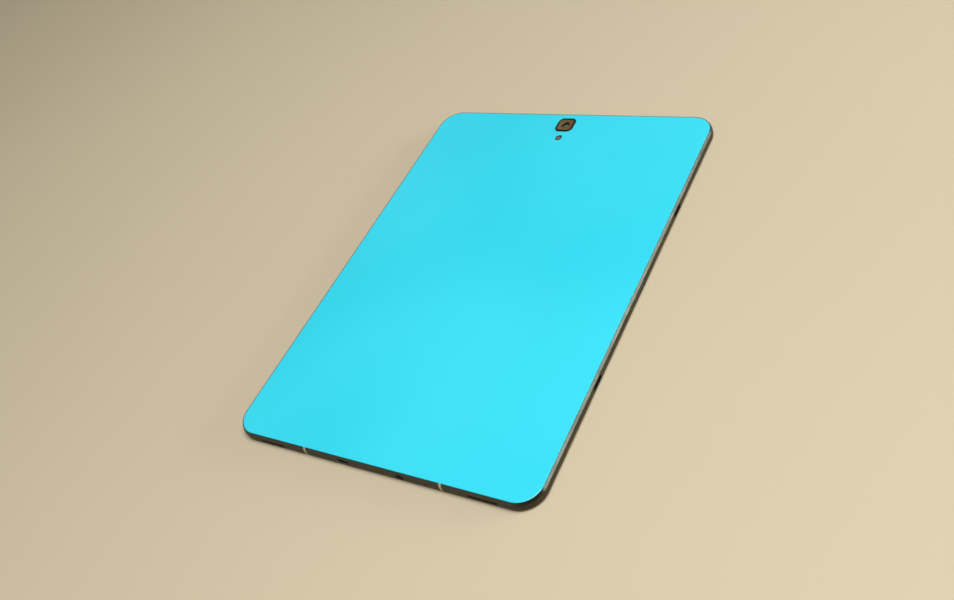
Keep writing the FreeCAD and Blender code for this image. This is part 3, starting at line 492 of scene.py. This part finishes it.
def build_front_glass(finish):
    """The clear front glass with the home key's opening, a hair thinner so that it clears its print."""
    piece = mesh_object("visual_front_glass", glass_sheet(GLASS_HIGH.z - TOUCH / 2, GLASS_LOW.z, 0.3))
    low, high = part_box("home_key_cap")
    opening = wall_opening(HOME_CAP[0] + HOME_CLEAR, HOME_CAP[1] + HOME_CLEAR, 2.0, 0.05)
    turn = Matrix.Rotation(math.pi, 4, "Y")
    carve(piece, placed(opening, Matrix.Translation((0, (low.y + high.y) / 2 / MM, 0)) @ turn))
    finish_piece(piece, "tablet", [finish], ["front_glass"])


# ---- Camera and flash ----

def camera_place():
    """Where the camera's own shapes stand."""
    return Matrix.Translation((0, (DECO_LOW.y + DECO_HIGH.y) / 2, 0))


def circle_path(radius, steps):
    """Stations round a circle."""
    stations = []
    for step in range(steps):
        angle = 2 * math.pi * step / steps
        normal = (math.cos(angle), math.sin(angle))
        stations.append(((radius * normal[0], radius * normal[1]), normal))
    return stations


def build_camera_deco(dark, bronze, glass):
    """The raised dark border, the dished bronze plate inside it and the round window in the plate."""
    half = DECO_HIGH.x
    top = DECO_HIGH.z
    path = rounded_path(half, half, DECO_R, 20)
    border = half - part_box("camera_deco_bevel")[1].x / MM
    low_z = DECO_LOW.z
    ring = soften([(0, low_z, 0), (0, top, 0.2), (border - 0.02, top, 0.1), (border, low_z, 0)], 8)
    piece = mesh_object("visual_camera_deco_ring", placed(sweep(path, ring, closed=True), camera_place()))
    finish_piece(piece, "tablet", [dark], ["camera_deco_ring"])

    low, high = (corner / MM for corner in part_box("camera_window"))
    radius = high.x
    edge_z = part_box("camera_deco_bevel")[1].z / MM
    flat_z = high.z + TOUCH
    dished = [
        (border, 5.35), (border, edge_z - 0.03), (border + 0.03, edge_z), (border + 0.10, edge_z - 0.01),
        (half - 3.15, flat_z + 0.02), (half - 2.95, flat_z), (half - 2.8, flat_z),
    ]
    piece = mesh_object("visual_camera_deco_bevel", placed(slab(path, dished), camera_place()))
    skirt = border + 0.30
    under = slab(rounded_path(half - skirt, half - skirt, DECO_R - skirt, 12), [(0, 5.0), (0, low.z)])
    sight = slab(circle_path(radius + TOUCH, 64), [
        (0, 5.2), (0, flat_z - 0.06), (-0.06, flat_z), (-0.06, top),
    ])
    carve(piece, placed(under, camera_place()))
    carve(piece, placed(sight, camera_place()))
    finish_piece(piece, "tablet", [bronze], ["camera_deco_bevel"])

    window = [(0, low.z), (0, high.z - 0.05), (0.01, high.z - 0.01), (0.05, high.z), (0.6, high.z)]
    shape = slab(circle_path(radius, 64), window)
    piece = mesh_object("visual_camera_window", placed(shape, camera_place()))
    finish_piece(piece, "tablet", [glass], ["camera_window"])


def build_lens(black, coated):
    """The stepped lens barrel and its domed front element."""
    steps = soften([
        (0, BARREL_LOW_Z, 0), (0, 5.55, 0.1), (0.30, 5.60, 0.03), (0.34, 5.44, 0.02), (0.62, 5.42, 0.02),
        (0.66, 4.95, 0.02), (1.1, 4.92, 0), (1.1, BARREL_LOW_Z, 0),
    ], 3)
    shape = sweep(circle_path(BARREL_R, 64), steps, closed=True)
    barrel = mesh_object("visual_lens_barrel", placed(shape, camera_place()))
    finish_piece(barrel, "focus_lens", [black], ["rear_lens_barrel"])

    rings = 12
    dome = [(0, ELEMENT_Z - 0.04), (0, ELEMENT_Z)]
    for step in range(1, rings + 1):
        share = step / (rings + 1)
        dome.append((ELEMENT_R * share, ELEMENT_Z + ELEMENT_RISE * (1 - (1 - share) ** 2)))
    shape = slab(circle_path(ELEMENT_R, 64), dome)
    element = mesh_object("visual_lens_glass", placed(shape, camera_place()))
    finish_piece(element, "focus_lens", [coated], ["rear_lens_glass"])


def build_flash(dark, lens):
    """The thin dark flash surround and its window with round ridges."""
    at = Matrix.Translation((0, (FLASH_LOW.y + FLASH_HIGH.y) / 2, 0))
    half_x = FLASH_HIGH.x
    half_y = (FLASH_HIGH.y - FLASH_LOW.y) / 2
    path = rounded_path(half_x, half_y, half_x - 0.01, 20)
    ring = soften([
        (0, FLASH_RING_LOW_Z, 0), (0, FLASH_RING_TOP_Z, 0.08),
        (0.24, FLASH_RING_TOP_Z, 0.05), (0.25, FLASH_RING_LOW_Z, 0),
    ], 4)
    piece = mesh_object("visual_flash_ring", placed(sweep(path, ring, closed=True), at))
    finish_piece(piece, "tablet", [dark], ["flash_ring"])

    ridges = [(0.27, 5.46), (0.27, 5.96)]
    for step in range(FLASH_RIDGES):
        inset = 0.32 + FLASH_PITCH * step
        ridges += [(inset, 5.99), (inset + 0.14, 5.96)]
    piece = mesh_object("visual_flash_window", placed(slab(path, ridges), at))
    finish_piece(piece, "tablet", [lens], ["flash_window"])


# ---- Keys ----

def key_cap(length, proud, depth):
    """A side key in its wall's own frame: a rounded bar with a softly crowned face."""
    path = rounded_path(length / 2, KEY_HEIGHT / 2, KEY_HEIGHT / 2 - 0.02, 16)
    face = [(0, -depth), (0, proud - 0.28)]
    for angle in range(15, 91, 15):
        turn = math.radians(angle)
        face.append((0.26 * (1 - math.cos(turn)), proud - 0.28 + 0.24 * math.sin(turn)))
    face += [(0.6, proud - 0.01), (0.95, proud)]
    return slab(path, face)


def key_flange(length):
    """The flange inside the wall that keeps a key in."""
    path = rounded_path(length / 2, FLANGE_HALF_HEIGHT, FLANGE_HALF_HEIGHT - 0.02, 12)
    return slab(path, [(0, -WALL_IN - 0.50), (0, -WALL_IN - 0.10)])


def key_stem(offset):
    """The stem that presses the dome switch."""
    path = rounded_path(0.9, 0.6, 0.58, 8)
    stem = slab(path, [(0.1, -WALL_IN - 0.75), (0, -WALL_IN - 0.65), (0, -WALL_IN - 0.3)])
    return placed(stem, Matrix.Translation((offset, 0, 0)))


def build_side_keys(finish):
    """The power key and the volume rocker."""
    for node, body in (("power_key", "power_key"), ("volume_key", "volume_rocker")):
        proud = -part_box(node)[0].x / MM - HALF_W
        cap = key_cap(KEY_LENGTH[node], proud, WALL_IN + 0.45)
        shape = joined(cap, key_flange(FLANGE_LENGTH[node]), *map(key_stem, STEM_PLACES[node]))
        piece = mesh_object("visual_" + node, placed(shape, on_key_side(centre_of(node).y, PORT_Z)))
        finish_piece(piece, body, [finish], [node])


def build_home_key(finish, rim_finish):
    """The home key: a dished cap with a polished edge, in its rim."""
    at = Matrix.Translation((0, centre_of("home_key_cap").y, 0))
    path = rounded_path(HOME_CAP[0] / 2, HOME_CAP[1] / 2, HOME_CAP[1] / 2 - 0.05, 20)
    cap = slab(path, [
        (-1.0, 1.2), (-1.0, 1.0), (0, 1.0), (0, 0.22), (0.05, 0.10), (0.14, 0.05), (0.30, 0.05),
        (0.36, 0.09), (0.60, 0.13), (1.4, 0.17), (2.4, 0.18),
    ])
    piece = mesh_object("visual_home_key", placed(cap, at))
    finish_piece(piece, "home_key", [finish], ["home_key_cap"])
    rim = soften([(-1.5, 0.72, 0.05), (-1.5, 0.95, 0.05), (-0.26, 0.95, 0.05), (-0.26, 0.72, 0.05)], 3)
    piece = mesh_object("visual_home_key_rim", placed(sweep(path, rim, closed=True), at))
    finish_piece(piece, "tablet", [rim_finish], ["home_key_rim"])


# ---- Card tray ----

def build_card_tray(metal):
    """The tray: a frame that holds a card over a ledge, behind a faceplate with a pin hole."""
    low, high = (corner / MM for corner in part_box("card_tray"))
    middle = centre_of("card_tray")
    y, z = middle.y, middle.z
    face_depth = -HALF_W + WALL_IN - 0.2 - low.x
    root_x = low.x + face_depth
    length = high.x - root_x + 0.1
    half_w = TRAY_BODY[0] / 2
    half_t = TRAY_BODY[1] / 2
    bar = slab(rounded_path(length / 2, half_w, 1.2, 10), [
        (0.08, z - half_t), (0, z - half_t + 0.08), (0, z + half_t - 0.08), (0.08, z + half_t),
    ])
    body = mesh_object("visual_card_tray", placed(bar, Matrix.Translation((high.x - length / 2, y, 0))))
    hollow_at = Matrix.Translation(((root_x + high.x + 2.0) / 2, y, 0))
    hollow_l = high.x - root_x - 5.0
    pocket = slab(rounded_path(hollow_l / 2, half_w - TRAY_RIM, 0.6, 6), [(0, z - 0.3), (0, z + 1.0)])
    sill = rounded_path(hollow_l / 2 - TRAY_RIM, half_w - TRAY_LEDGE, 0.5, 6)
    window = slab(sill, [(0, z - 1.0), (0, z + 0.4)])
    carve(body, placed(pocket, hollow_at))
    carve(body, placed(window, hollow_at))
    finish_piece(body, "card_tray", [metal], ["card_tray"])

    path = rounded_path(TRAY_FACE[0] / 2, TRAY_FACE[1] / 2, TRAY_FACE[1] / 2 - 0.02, 16)
    plate = slab(path, [(0, -face_depth), (0, -0.10), (0.03, -0.03), (0.10, 0), (0.4, 0.02)])
    face_at = on_key_side(y, z) @ Matrix.Translation((0, 0, -low.x - HALF_W))
    face = mesh_object("card_tray_face", placed(plate, face_at))
    pin = slab(circle_path(PIN_R, 20), [(0, -2.6), (0, -0.12), (-0.06, -0.04), (-0.3, 0.5)])
    carve(face, placed(pin, on_key_side(y + PIN_FROM_MIDDLE, z)))
    finish_piece(face, "card_tray", [metal])


def build_card_tray_seal(rubber):
    """The soft ring behind the tray's faceplate."""
    low, high = (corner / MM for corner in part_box("card_tray_seal"))
    tray = centre_of("card_tray")
    wide = (high.y - low.y) / 2
    tall = (high.z - low.z) / 2
    thick = high.x - low.x
    ring = soften([(0, 0, 0.12), (0, thick, 0.12), (0.38, thick, 0.05), (0.38, 0, 0.05)], 4)
    shape = sweep(rounded_path(wide, tall, tall - 0.05, 12), ring, closed=True)
    place = on_key_side(tray.y, tray.z) @ Matrix.Translation((0, 0, -high.x - HALF_W))
    piece = mesh_object("visual_card_tray_seal", placed(shape, place))
    finish_piece(piece, "card_tray", [rubber], ["card_tray_seal"])


# ---- Ports ----

def build_charging_port(steel):
    """The charging port's shell with its rolled lip."""
    low, high = (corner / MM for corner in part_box("usb_shell"))
    half_x = (high.x - low.x) / 2
    half_z = (high.z - low.z) / 2
    depth = high.y - low.y
    shell = soften([(0, -depth, 0), (0, 0, 0.12), (0.30, 0, 0.15), (0.30, -depth, 0)], 4)
    shape = sweep(rounded_path(half_x, half_z, half_z - 0.005, 16), shell, closed=True)
    place = on_bottom(centre_of("usb_shell").x, PORT_Z) @ Matrix.Translation((0, 0, -HALF_L - low.y))
    piece = mesh_object("visual_usb_shell", placed(shape, place))
    finish_piece(piece, "tablet", [steel], ["usb_shell"])


def build_headphone_jack(plastic):
    """The headphone jack's block and the round nose in front of it."""
    low, high = (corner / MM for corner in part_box("jack_body"))
    front = -HALF_L - low.y
    back = -HALF_L - high.y
    place = on_bottom(centre_of("jack_body").x, PORT_Z)
    outline = rounded_path(JACK_BLOCK[0] / 2, JACK_BLOCK[1] / 2, 0.3, 5)
    block = slab(outline, [
        (0.1, back), (0, back + 0.1), (0, -JACK_SHOULDER - 0.1), (0.1, -JACK_SHOULDER),
    ])
    body = mesh_object("visual_jack_body", placed(block, place))
    bore = slab(circle_path(JACK_BORE_R, 48), [(0, front - JACK_BORE_DEPTH), (0, 1)])
    carve(body, placed(bore, place))
    finish_piece(body, "tablet", [plastic], ["jack_body"])

    root = -JACK_SHOULDER - front
    wall = JACK_NOSE_R - JACK_BORE_R
    nose = soften([(0, root, 0), (0, 0, 0.1), (wall, 0, 0.1), (wall, root, 0)], 4)
    shape = sweep(circle_path(JACK_NOSE_R, 48), nose, closed=True)
    piece = mesh_object("jack_nose", placed(shape, place @ Matrix.Translation((0, 0, front))))
    finish_piece(piece, "tablet", [plastic])


# ---- Finishes ----

class Finish:
    """One procedural material: a Principled shader with patterns in the object's space, in millimetres."""

    def __init__(self, name, color, roughness=0.5, metallic=0.0, **sockets):
        self.material = bpy.data.materials.new(name)
        self.material.use_nodes = True
        self.tree = self.material.node_tree
        self.shader = self.tree.nodes["Principled BSDF"]
        self.set("Base Color", (*color, 1.0))
        self.set("Roughness", roughness)
        self.set("Metallic", metallic)
        for socket, value in sockets.items():
            self.set(socket.replace("_", " "), value)
        coordinates = self.tree.nodes.new("ShaderNodeTexCoord")
        millimetres = self.tree.nodes.new("ShaderNodeVectorMath")
        millimetres.operation = "SCALE"
        millimetres.inputs["Scale"].default_value = 1 / MM
        self.tree.links.new(coordinates.outputs["Object"], millimetres.inputs[0])
        self.space = millimetres.outputs[0]

    def set(self, socket, value):
        """A value that is the same all over."""
        self.shader.inputs[socket].default_value = value

    def node(self, kind, *inputs):
        """A node of a kind, with its inputs linked or set, and its first output returned."""
        made = self.tree.nodes.new(kind)
        for index, value in enumerate(inputs):
            if isinstance(value, bpy.types.NodeSocket):
                self.tree.links.new(value, made.inputs[index])
            elif value is not None:
                made.inputs[index].default_value = value
        return made.outputs[0]

    def stretched(self, x, y, z):
        """The object's space with each axis scaled."""
        return self.node("ShaderNodeMapping", self.space, None, None, (x, y, z))

    def noise(self, size, detail=2.0, roughness=0.5, space=None):
        """Cloudy noise whose features are about size millimetres across."""
        made = self.tree.nodes.new("ShaderNodeTexNoise")
        self.tree.links.new(space or self.space, made.inputs["Vector"])
        made.inputs["Scale"].default_value = 1 / size
        made.inputs["Detail"].default_value = detail
        made.inputs["Roughness"].default_value = roughness
        return made.outputs[0]

    def cells(self, size, feature="F1"):
        """Cells about size millimetres across, as the distance within each."""
        made = self.tree.nodes.new("ShaderNodeTexVoronoi")
        made.feature = feature
        self.tree.links.new(self.space, made.inputs["Vector"])
        made.inputs["Scale"].default_value = 1 / size
        return made.outputs["Distance"]

    def lines(self, pitch, axis, distortion=0.0):
        """Parallel lines at a pitch in millimetres, across one axis."""
        made = self.tree.nodes.new("ShaderNodeTexWave")
        made.bands_direction = axis
        self.tree.links.new(self.space, made.inputs["Vector"])
        made.inputs["Scale"].default_value = 0.314 / pitch
        made.inputs["Distortion"].default_value = distortion
        return made.outputs["Fac"]

    def span(self, source, low, high, from_low=0.0, from_high=1.0):
        """A value between low and high that follows the source."""
        return self.node("ShaderNodeMapRange", source, from_low, from_high, low, high)

    def blend(self, factor, first, second):
        """A colour between two, as linear red, green and blue."""
        made = self.tree.nodes.new("ShaderNodeMix")
        made.data_type = "RGBA"
        self.tree.links.new(factor, made.inputs[0])
        for socket, value in ((made.inputs[6], first), (made.inputs[7], second)):
            if isinstance(value, bpy.types.NodeSocket):
                self.tree.links.new(value, socket)
            else:
                socket.default_value = (*value, 1.0)
        return made.outputs[2]

    def drive(self, socket, source):
        """Links a pattern to the shader."""
        self.tree.links.new(source, self.shader.inputs[socket])

    def bump(self, height, distance, strength=1.0):
        """Relief of a depth in millimetres."""
        made = self.tree.nodes.new("ShaderNodeBump")
        made.inputs["Strength"].default_value = strength
        made.inputs["Distance"].default_value = distance * MM
        self.tree.links.new(height, made.inputs["Height"])
        self.drive("Normal", made.outputs[0])


def anodised(name, dark, light):
    """Fine-blasted anodised aluminium: tiny grain, slow changes of tone, a little handling wear."""
    finish = Finish(name, light, 0.34, 0.3, Specular_IOR_Level=0.2, Specular_Tint=(0.4, 0.37, 0.3, 1.0))
    tone = finish.noise(14.0, 3.0)
    grain = finish.noise(0.16, 2.0)
    finish.drive("Base Color", finish.blend(finish.span(tone, 0.0, 1.0, 0.3, 0.7), dark, light))
    finish.drive("Roughness", finish.span(finish.noise(3.0, 4.0), 0.28, 0.42, 0.3, 0.7))
    finish.bump(grain, 0.004, 0.5)
    return finish.material


def polished(name, dark, light, roughness=(0.08, 0.2), metallic=1.0):
    """Diamond-cut metal: bright, with fine lines along the cut and faint hazing."""
    finish = Finish(name, light, 0.12, metallic)
    haze = finish.noise(9.0, 4.0)
    cut = finish.lines(0.09, "Z", 0.4)
    finish.drive("Base Color", finish.blend(finish.span(haze, 0.0, 1.0, 0.3, 0.7), dark, light))
    finish.drive("Roughness", finish.span(haze, *roughness, 0.3, 0.7))
    finish.bump(cut, 0.0008, 0.1)
    return finish.material


def coloured_glass(name, deep, bright):
    """The back: clear gloss glass over a coloured pearl film, with faint smears from handling."""
    finish = Finish(name, bright, 0.3, 0.0, Coat_Weight=1.0, Coat_IOR=1.5, Coat_Roughness=0.03)
    drift = finish.noise(120.0, 1.0)
    pearl = finish.cells(0.22)
    smear = finish.noise(34.0, 1.0)
    base = finish.blend(finish.span(drift, 0.0, 1.0, 0.35, 0.65), deep, bright)
    finish.drive("Base Color", finish.blend(finish.span(pearl, 0.0, 0.04), base, (0.20, 0.95, 1.0)))
    finish.drive("Roughness", finish.span(smear, 0.28, 0.36, 0.3, 0.7))
    finish.bump(finish.noise(18.0, 1.0), 0.002, 0.15)
    return finish.material


def clear_glass(name, tint, roughness=(0.0, 0.03), clear=1.0):
    """Glass with faint smears, milky where it is less than wholly clear."""
    finish = Finish(name, tint, 0.02, 0.0, Transmission_Weight=clear, IOR=1.5)
    finish.drive("Roughness", finish.span(finish.noise(22.0, 5.0, 0.6), *roughness, 0.35, 0.7))
    deeper = tuple(value * 0.97 for value in tint)
    finish.drive("Base Color", finish.blend(finish.noise(40.0, 1.0), tint, deeper))
    return finish.material


def moulded(name, color, roughness=0.45, grain=0.12, variation=0.12):
    """Moulded plastic or rubber with a fine texture and slight changes of tone."""
    finish = Finish(name, color, roughness)
    darker = tuple(value * (1 - variation) for value in color)
    finish.drive("Base Color", finish.blend(finish.noise(4.0, 3.0), darker, color))
    uneven = finish.noise(1.5, 3.0)
    finish.drive("Roughness", finish.span(uneven, roughness - 0.07, roughness + 0.07, 0.3, 0.7))
    finish.bump(finish.noise(grain, 2.0), 0.006, 0.5)
    return finish.material


def brushed(name, color, axis="X", roughness=0.3):
    """Sheet metal with fine brush lines and a few duller patches."""
    finish = Finish(name, color, roughness, 1.0)
    lines = finish.noise(0.25, 3.0, 0.6, finish.stretched(*((0.02, 1, 1) if axis == "X" else (1, 0.02, 1))))
    patch = finish.noise(8.0, 3.0)
    finish.drive("Base Color", finish.blend(patch, tuple(value * 0.86 for value in color), color))
    finish.drive("Roughness", finish.span(lines, roughness - 0.1, roughness + 0.14, 0.3, 0.7))
    finish.bump(lines, 0.004, 0.5)
    return finish.material


def cast_metal(name, color):
    """Die-cast alloy: matt, cloudy, with a pebbled skin."""
    finish = Finish(name, color, 0.55, 0.9)
    cloud = finish.noise(12.0, 5.0, 0.65)
    finish.drive("Base Color", finish.blend(cloud, tuple(value * 0.7 for value in color), color))
    finish.drive("Roughness", finish.span(cloud, 0.45, 0.68, 0.3, 0.7))
    finish.bump(finish.cells(0.4, feature="SMOOTH_F1"), 0.02, 0.4)
    return finish.material


def woven(name, dark, light):
    """Fine wire mesh: two sets of strands that cross, with the gaps between them painted dark as shade."""
    finish = Finish(name, light, 0.4, 0.8)
    across = finish.lines(0.25, "X")
    along = finish.lines(0.25, "Z")
    strands_and_gap_shade = finish.node("ShaderNodeMath", across, along)
    strands_and_gap_shade.node.operation = "MAXIMUM"
    # Painted shade: the gaps between the strands are near-black, standing in for shaded openings.
    finish.drive("Base Color", finish.blend(finish.span(strands_and_gap_shade, 0.0, 1.0, 0.55, 0.8), dark, light))
    finish.drive("Roughness", finish.span(finish.noise(2.0, 3.0), 0.35, 0.55, 0.3, 0.7))
    finish.bump(strands_and_gap_shade, 0.05, 0.8)
    return finish.material


def circuit_board(name):
    """Solder mask over copper tracks, with bare pads."""
    finish = Finish(name, (0.01, 0.09, 0.05), 0.35, 0.0, Coat_Weight=0.4, Coat_Roughness=0.15)
    tracks = finish.cells(3.4, feature="DISTANCE_TO_EDGE")
    pads = finish.cells(2.1)
    traced = finish.blend(finish.span(tracks, 1.0, 0.0, 0.03, 0.06), (0.006, 0.07, 0.04), (0.02, 0.16, 0.08))
    padded = finish.span(pads, 1.0, 0.0, 0.10, 0.13)
    finish.drive("Base Color", finish.blend(padded, traced, (0.75, 0.55, 0.22)))
    finish.bump(finish.span(tracks, 1.0, 0.0, 0.02, 0.08), 0.02, 0.5)
    return finish.material


def ribbon(name):
    """Flexible film with parallel copper tracks showing through."""
    finish = Finish(name, (0.35, 0.15, 0.03), 0.35, 0.0, Coat_Weight=0.5, Coat_Roughness=0.2)
    tracks = finish.lines(0.5, "X")
    copper = finish.span(tracks, 0.0, 1.0, 0.45, 0.6)
    finish.drive("Base Color", finish.blend(copper, (0.20, 0.07, 0.012), (0.48, 0.22, 0.05)))
    finish.drive("Roughness", finish.span(finish.noise(5.0, 3.0), 0.28, 0.45, 0.3, 0.7))
    finish.bump(tracks, 0.01, 0.5)
    return finish.material


def display(name):
    """A dark display that is off: stacked cells too fine to see, with a faint blue-violet cast."""
    finish = Finish(name, (0.010, 0.011, 0.016), 0.18, 0.0, Coat_Weight=0.6, Coat_Roughness=0.05)
    cast = finish.noise(60.0, 1.0)
    rows = finish.lines(0.3, "X")
    base = finish.blend(cast, (0.008, 0.009, 0.014), (0.014, 0.013, 0.022))
    finish.drive("Base Color", finish.blend(finish.span(rows, 0.0, 0.25), base, (0.02, 0.02, 0.03)))
    finish.drive("Roughness", finish.span(finish.noise(30.0, 3.0), 0.14, 0.22, 0.3, 0.7))
    return finish.material


def battery_wrap(name):
    """A foil pouch: dark film with shallow folds, whose low parts are painted darker as shade."""
    finish = Finish(name, (0.045, 0.045, 0.05), 0.4, 0.2)
    fold_relief_and_shade = finish.noise(10.0, 4.0, 0.6, finish.stretched(1.0, 0.5, 1.0))
    # Painted shade: the noise that gives the folds their relief also darkens their low parts.
    finish.drive("Base Color", finish.blend(fold_relief_and_shade, (0.03, 0.03, 0.034), (0.065, 0.065, 0.07)))
    finish.drive("Roughness", finish.span(fold_relief_and_shade, 0.32, 0.52, 0.3, 0.7))
    finish.bump(fold_relief_and_shade, 0.15, 0.4)
    return finish.material


def lens_with_painted_reflection(name):
    """A lens element with a painted reflection and painted shade: olive in the middle, where the coating's
    reflection is painted, and darker where it is seen edge-on.
    """
    finish = Finish(name, (0.02, 0.05, 0.035), 0.02, 0.0, Coat_Weight=1.0, Coat_Roughness=0.0)
    # Painted shade by viewing angle: the colour turns dark where the surface is seen edge-on; the olive is a
    # painted reflection.
    rim = finish.node("ShaderNodeLayerWeight", 0.45)
    finish.drive("Base Color", finish.blend(rim, (0.24, 0.25, 0.07), (0.03, 0.03, 0.03)))
    finish.drive("Roughness", finish.span(finish.noise(0.8, 2.0), 0.01, 0.05, 0.3, 0.7))
    return finish.material


def phosphor(name):
    """A yellow light-source coating with a granular surface."""
    finish = Finish(name, (0.62, 0.55, 0.36), 0.6)
    grains = finish.cells(0.12)
    finish.drive("Base Color", finish.blend(grains, (0.66, 0.60, 0.40), (0.48, 0.41, 0.22)))
    finish.bump(grains, 0.02, 0.6)
    return finish.material


# ---- Which finish each CAD node has ----

def slot_finishes():
    """One material for each of the record's material slots."""
    return {
        "frame_metal": anodised("bronze_anodised", (0.042, 0.031, 0.014), (0.060, 0.045, 0.021)),
        "back_glass": coloured_glass("cyan_glass", (0.026, 0.71, 0.93), (0.040, 0.76, 0.98)),
        "front_glass": clear_glass("cover_glass", (0.96, 0.98, 1.0)),
        "border_print": moulded("border_ink", (0.008, 0.008, 0.010), 0.3, 0.3, 0.3),
        "display": display("display_off"),
        "digitizer": moulded("digitizer_film", (0.09, 0.09, 0.10), 0.5, 0.5),
        "band_plastic": moulded("band_plastic", (0.50, 0.45, 0.34), 0.42),
        "adhesive": moulded("black_rubber", (0.018, 0.018, 0.018), 0.7, 0.2),
        "magnesium": cast_metal("cast_alloy", (0.36, 0.36, 0.37)),
        "deco_dark": moulded("deco_dark", (0.010, 0.012, 0.009), 0.22, 0.3),
        "deco_bronze": polished("bronze_polished", (0.31, 0.195, 0.09), (0.40, 0.26, 0.12), (0.3, 0.4), 0.75),
        "window_glass": clear_glass("camera_glass", (0.86, 0.90, 0.90)),
        "lens_glass": lens_with_painted_reflection("lens_painted_reflection"),
        "flash_lens": clear_glass("flash_glass", (0.72, 0.76, 0.72), (0.04, 0.12), 0.92),
        "led": phosphor("phosphor"),
        "black_plastic": moulded("black_plastic", (0.015, 0.015, 0.016), 0.5),
        "board_green": circuit_board("solder_mask"),
        "chip_black": moulded("chip_resin", (0.022, 0.022, 0.025), 0.55),
        "tinned_steel": brushed("tinned_steel", (0.62, 0.62, 0.60), "Y", 0.32),
        "flex_film": ribbon("flex_film"),
        "battery_wrap": battery_wrap("battery_pouch"),
        "gold_contact": polished("gold_plating", (0.60, 0.40, 0.14), (0.72, 0.50, 0.20), (0.2, 0.3)),
        "dust_mesh": woven("dust_mesh", (0.006, 0.006, 0.006), (0.10, 0.10, 0.10)),
        "steel": brushed("machined_steel", (0.50, 0.50, 0.50)),
        "key_metal": anodised("key_anodised", (0.08, 0.064, 0.036), (0.12, 0.098, 0.058)),
        "magnet": brushed("nickel_plating", (0.55, 0.54, 0.50), "Y", 0.2),
    }


def dress_cad_nodes(finishes):
    """Every CAD node takes its slot's finish."""
    slots = {entry["node"]: entry["material_slot"] for entry in frame["record"]["subparts"]}
    for name, piece in frame["nodes"].items():
        piece.data.materials.clear()
        piece.data.materials.append(finishes[slots[name]])


def build_object(finishes):
    """Every visible piece that is finer than its CAD node."""
    metal = finishes["frame_metal"]
    bronze = finishes["deco_bronze"]
    shoulder = polished("shoulder_polished", (0.078, 0.088, 0.080), (0.092, 0.104, 0.094), (0.18, 0.24))
    # The side pieces' third finish, near-black, is painted shade inside the blind alignment slots.
    build_side_pieces(metal, shoulder, finishes["deco_dark"])
    build_bars(metal, shoulder)
    build_bands(finishes["band_plastic"])
    build_back_cover(finishes["back_glass"])
    build_front_glass(finishes["front_glass"])
    build_camera_deco(finishes["deco_dark"], bronze, finishes["window_glass"])
    build_lens(finishes["black_plastic"], finishes["lens_glass"])
    build_flash(finishes["deco_dark"], finishes["flash_lens"])
    build_side_keys(finishes["key_metal"])
    build_home_key(finishes["key_metal"], bronze)
    build_card_tray(finishes["key_metal"])
    build_card_tray_seal(finishes["adhesive"])
    build_charging_port(finishes["steel"])
    build_headphone_jack(finishes["black_plastic"])


# ---- Stage, light and camera ----

def build_camera():
    """The camera looks down at the back from beyond the corner with the charging port and the dock side."""
    camera = bpy.data.objects.new("camera", bpy.data.cameras.new("camera"))
    camera.data.lens = CAMERA_LENS
    camera.data.sensor_width = 36.0
    camera.data.clip_start = 0.005
    turn = (CAMERA_TARGET - CAMERA_PLACE).to_track_quat("-Z", "Y").to_matrix().to_4x4()
    camera.matrix_world = Matrix.Translation(CAMERA_PLACE) @ turn @ Matrix.Rotation(-CAMERA_ROLL, 4, "Z")
    bpy.context.scene.collection.objects.link(camera)
    bpy.context.scene.camera = camera


def area_light(name, place, target, size, watts, color, spread=180):
    """A soft rectangular lamp that faces a point, with a grid that limits its spread in degrees."""
    data = bpy.data.lights.new(name, "AREA")
    data.shape = "RECTANGLE"
    data.size, data.size_y = size
    data.energy = watts
    data.color = color
    data.spread = math.radians(spread)
    lamp = bpy.data.objects.new(name, data)
    turn = (Vector(target) - Vector(place)).to_track_quat("-Z", "Y").to_matrix().to_4x4()
    lamp.matrix_world = Matrix.Translation(place) @ turn
    bpy.context.scene.collection.objects.link(lamp)


def build_stage():
    """A plain pale floor, a soft world and two large lamps."""
    finish = Finish("floor", (0.60, 0.52, 0.37), 0.75)
    patches = finish.noise(400.0, 2.0)
    finish.drive("Base Color", finish.blend(patches, (0.58, 0.50, 0.355), (0.62, 0.54, 0.385)))
    path = rounded_path(3000.0, 3000.0, 10.0, 2)
    floor = mesh_object("floor", slab(path, [(0, -6.0), (0, 0.0)]))
    floor.data.materials.append(finish.material)

    world = bpy.data.worlds.new("studio")
    world.use_nodes = True
    world.node_tree.nodes["Background"].inputs["Color"].default_value = (1.0, 0.95, 0.86, 1.0)
    world.node_tree.nodes["Background"].inputs["Strength"].default_value = 0.12
    bpy.context.scene.world = world

    area_light("key", (0.62, -0.18, 1.50), (0.02, -0.03, 0), (1.1, 1.1), 29.2, (1.0, 0.98, 0.95))
    area_light("edge", (0.95, 0.55, 0.17), (0.05, 0, 0), (1.2, 0.26), 1.2, (0.93, 1.0, 0.95), 50)


build_camera()
finishes = slot_finishes()
dress_cad_nodes(finishes)
build_object(finishes)
build_stage()
bpy.context.scene.view_settings.view_transform = "Standard"
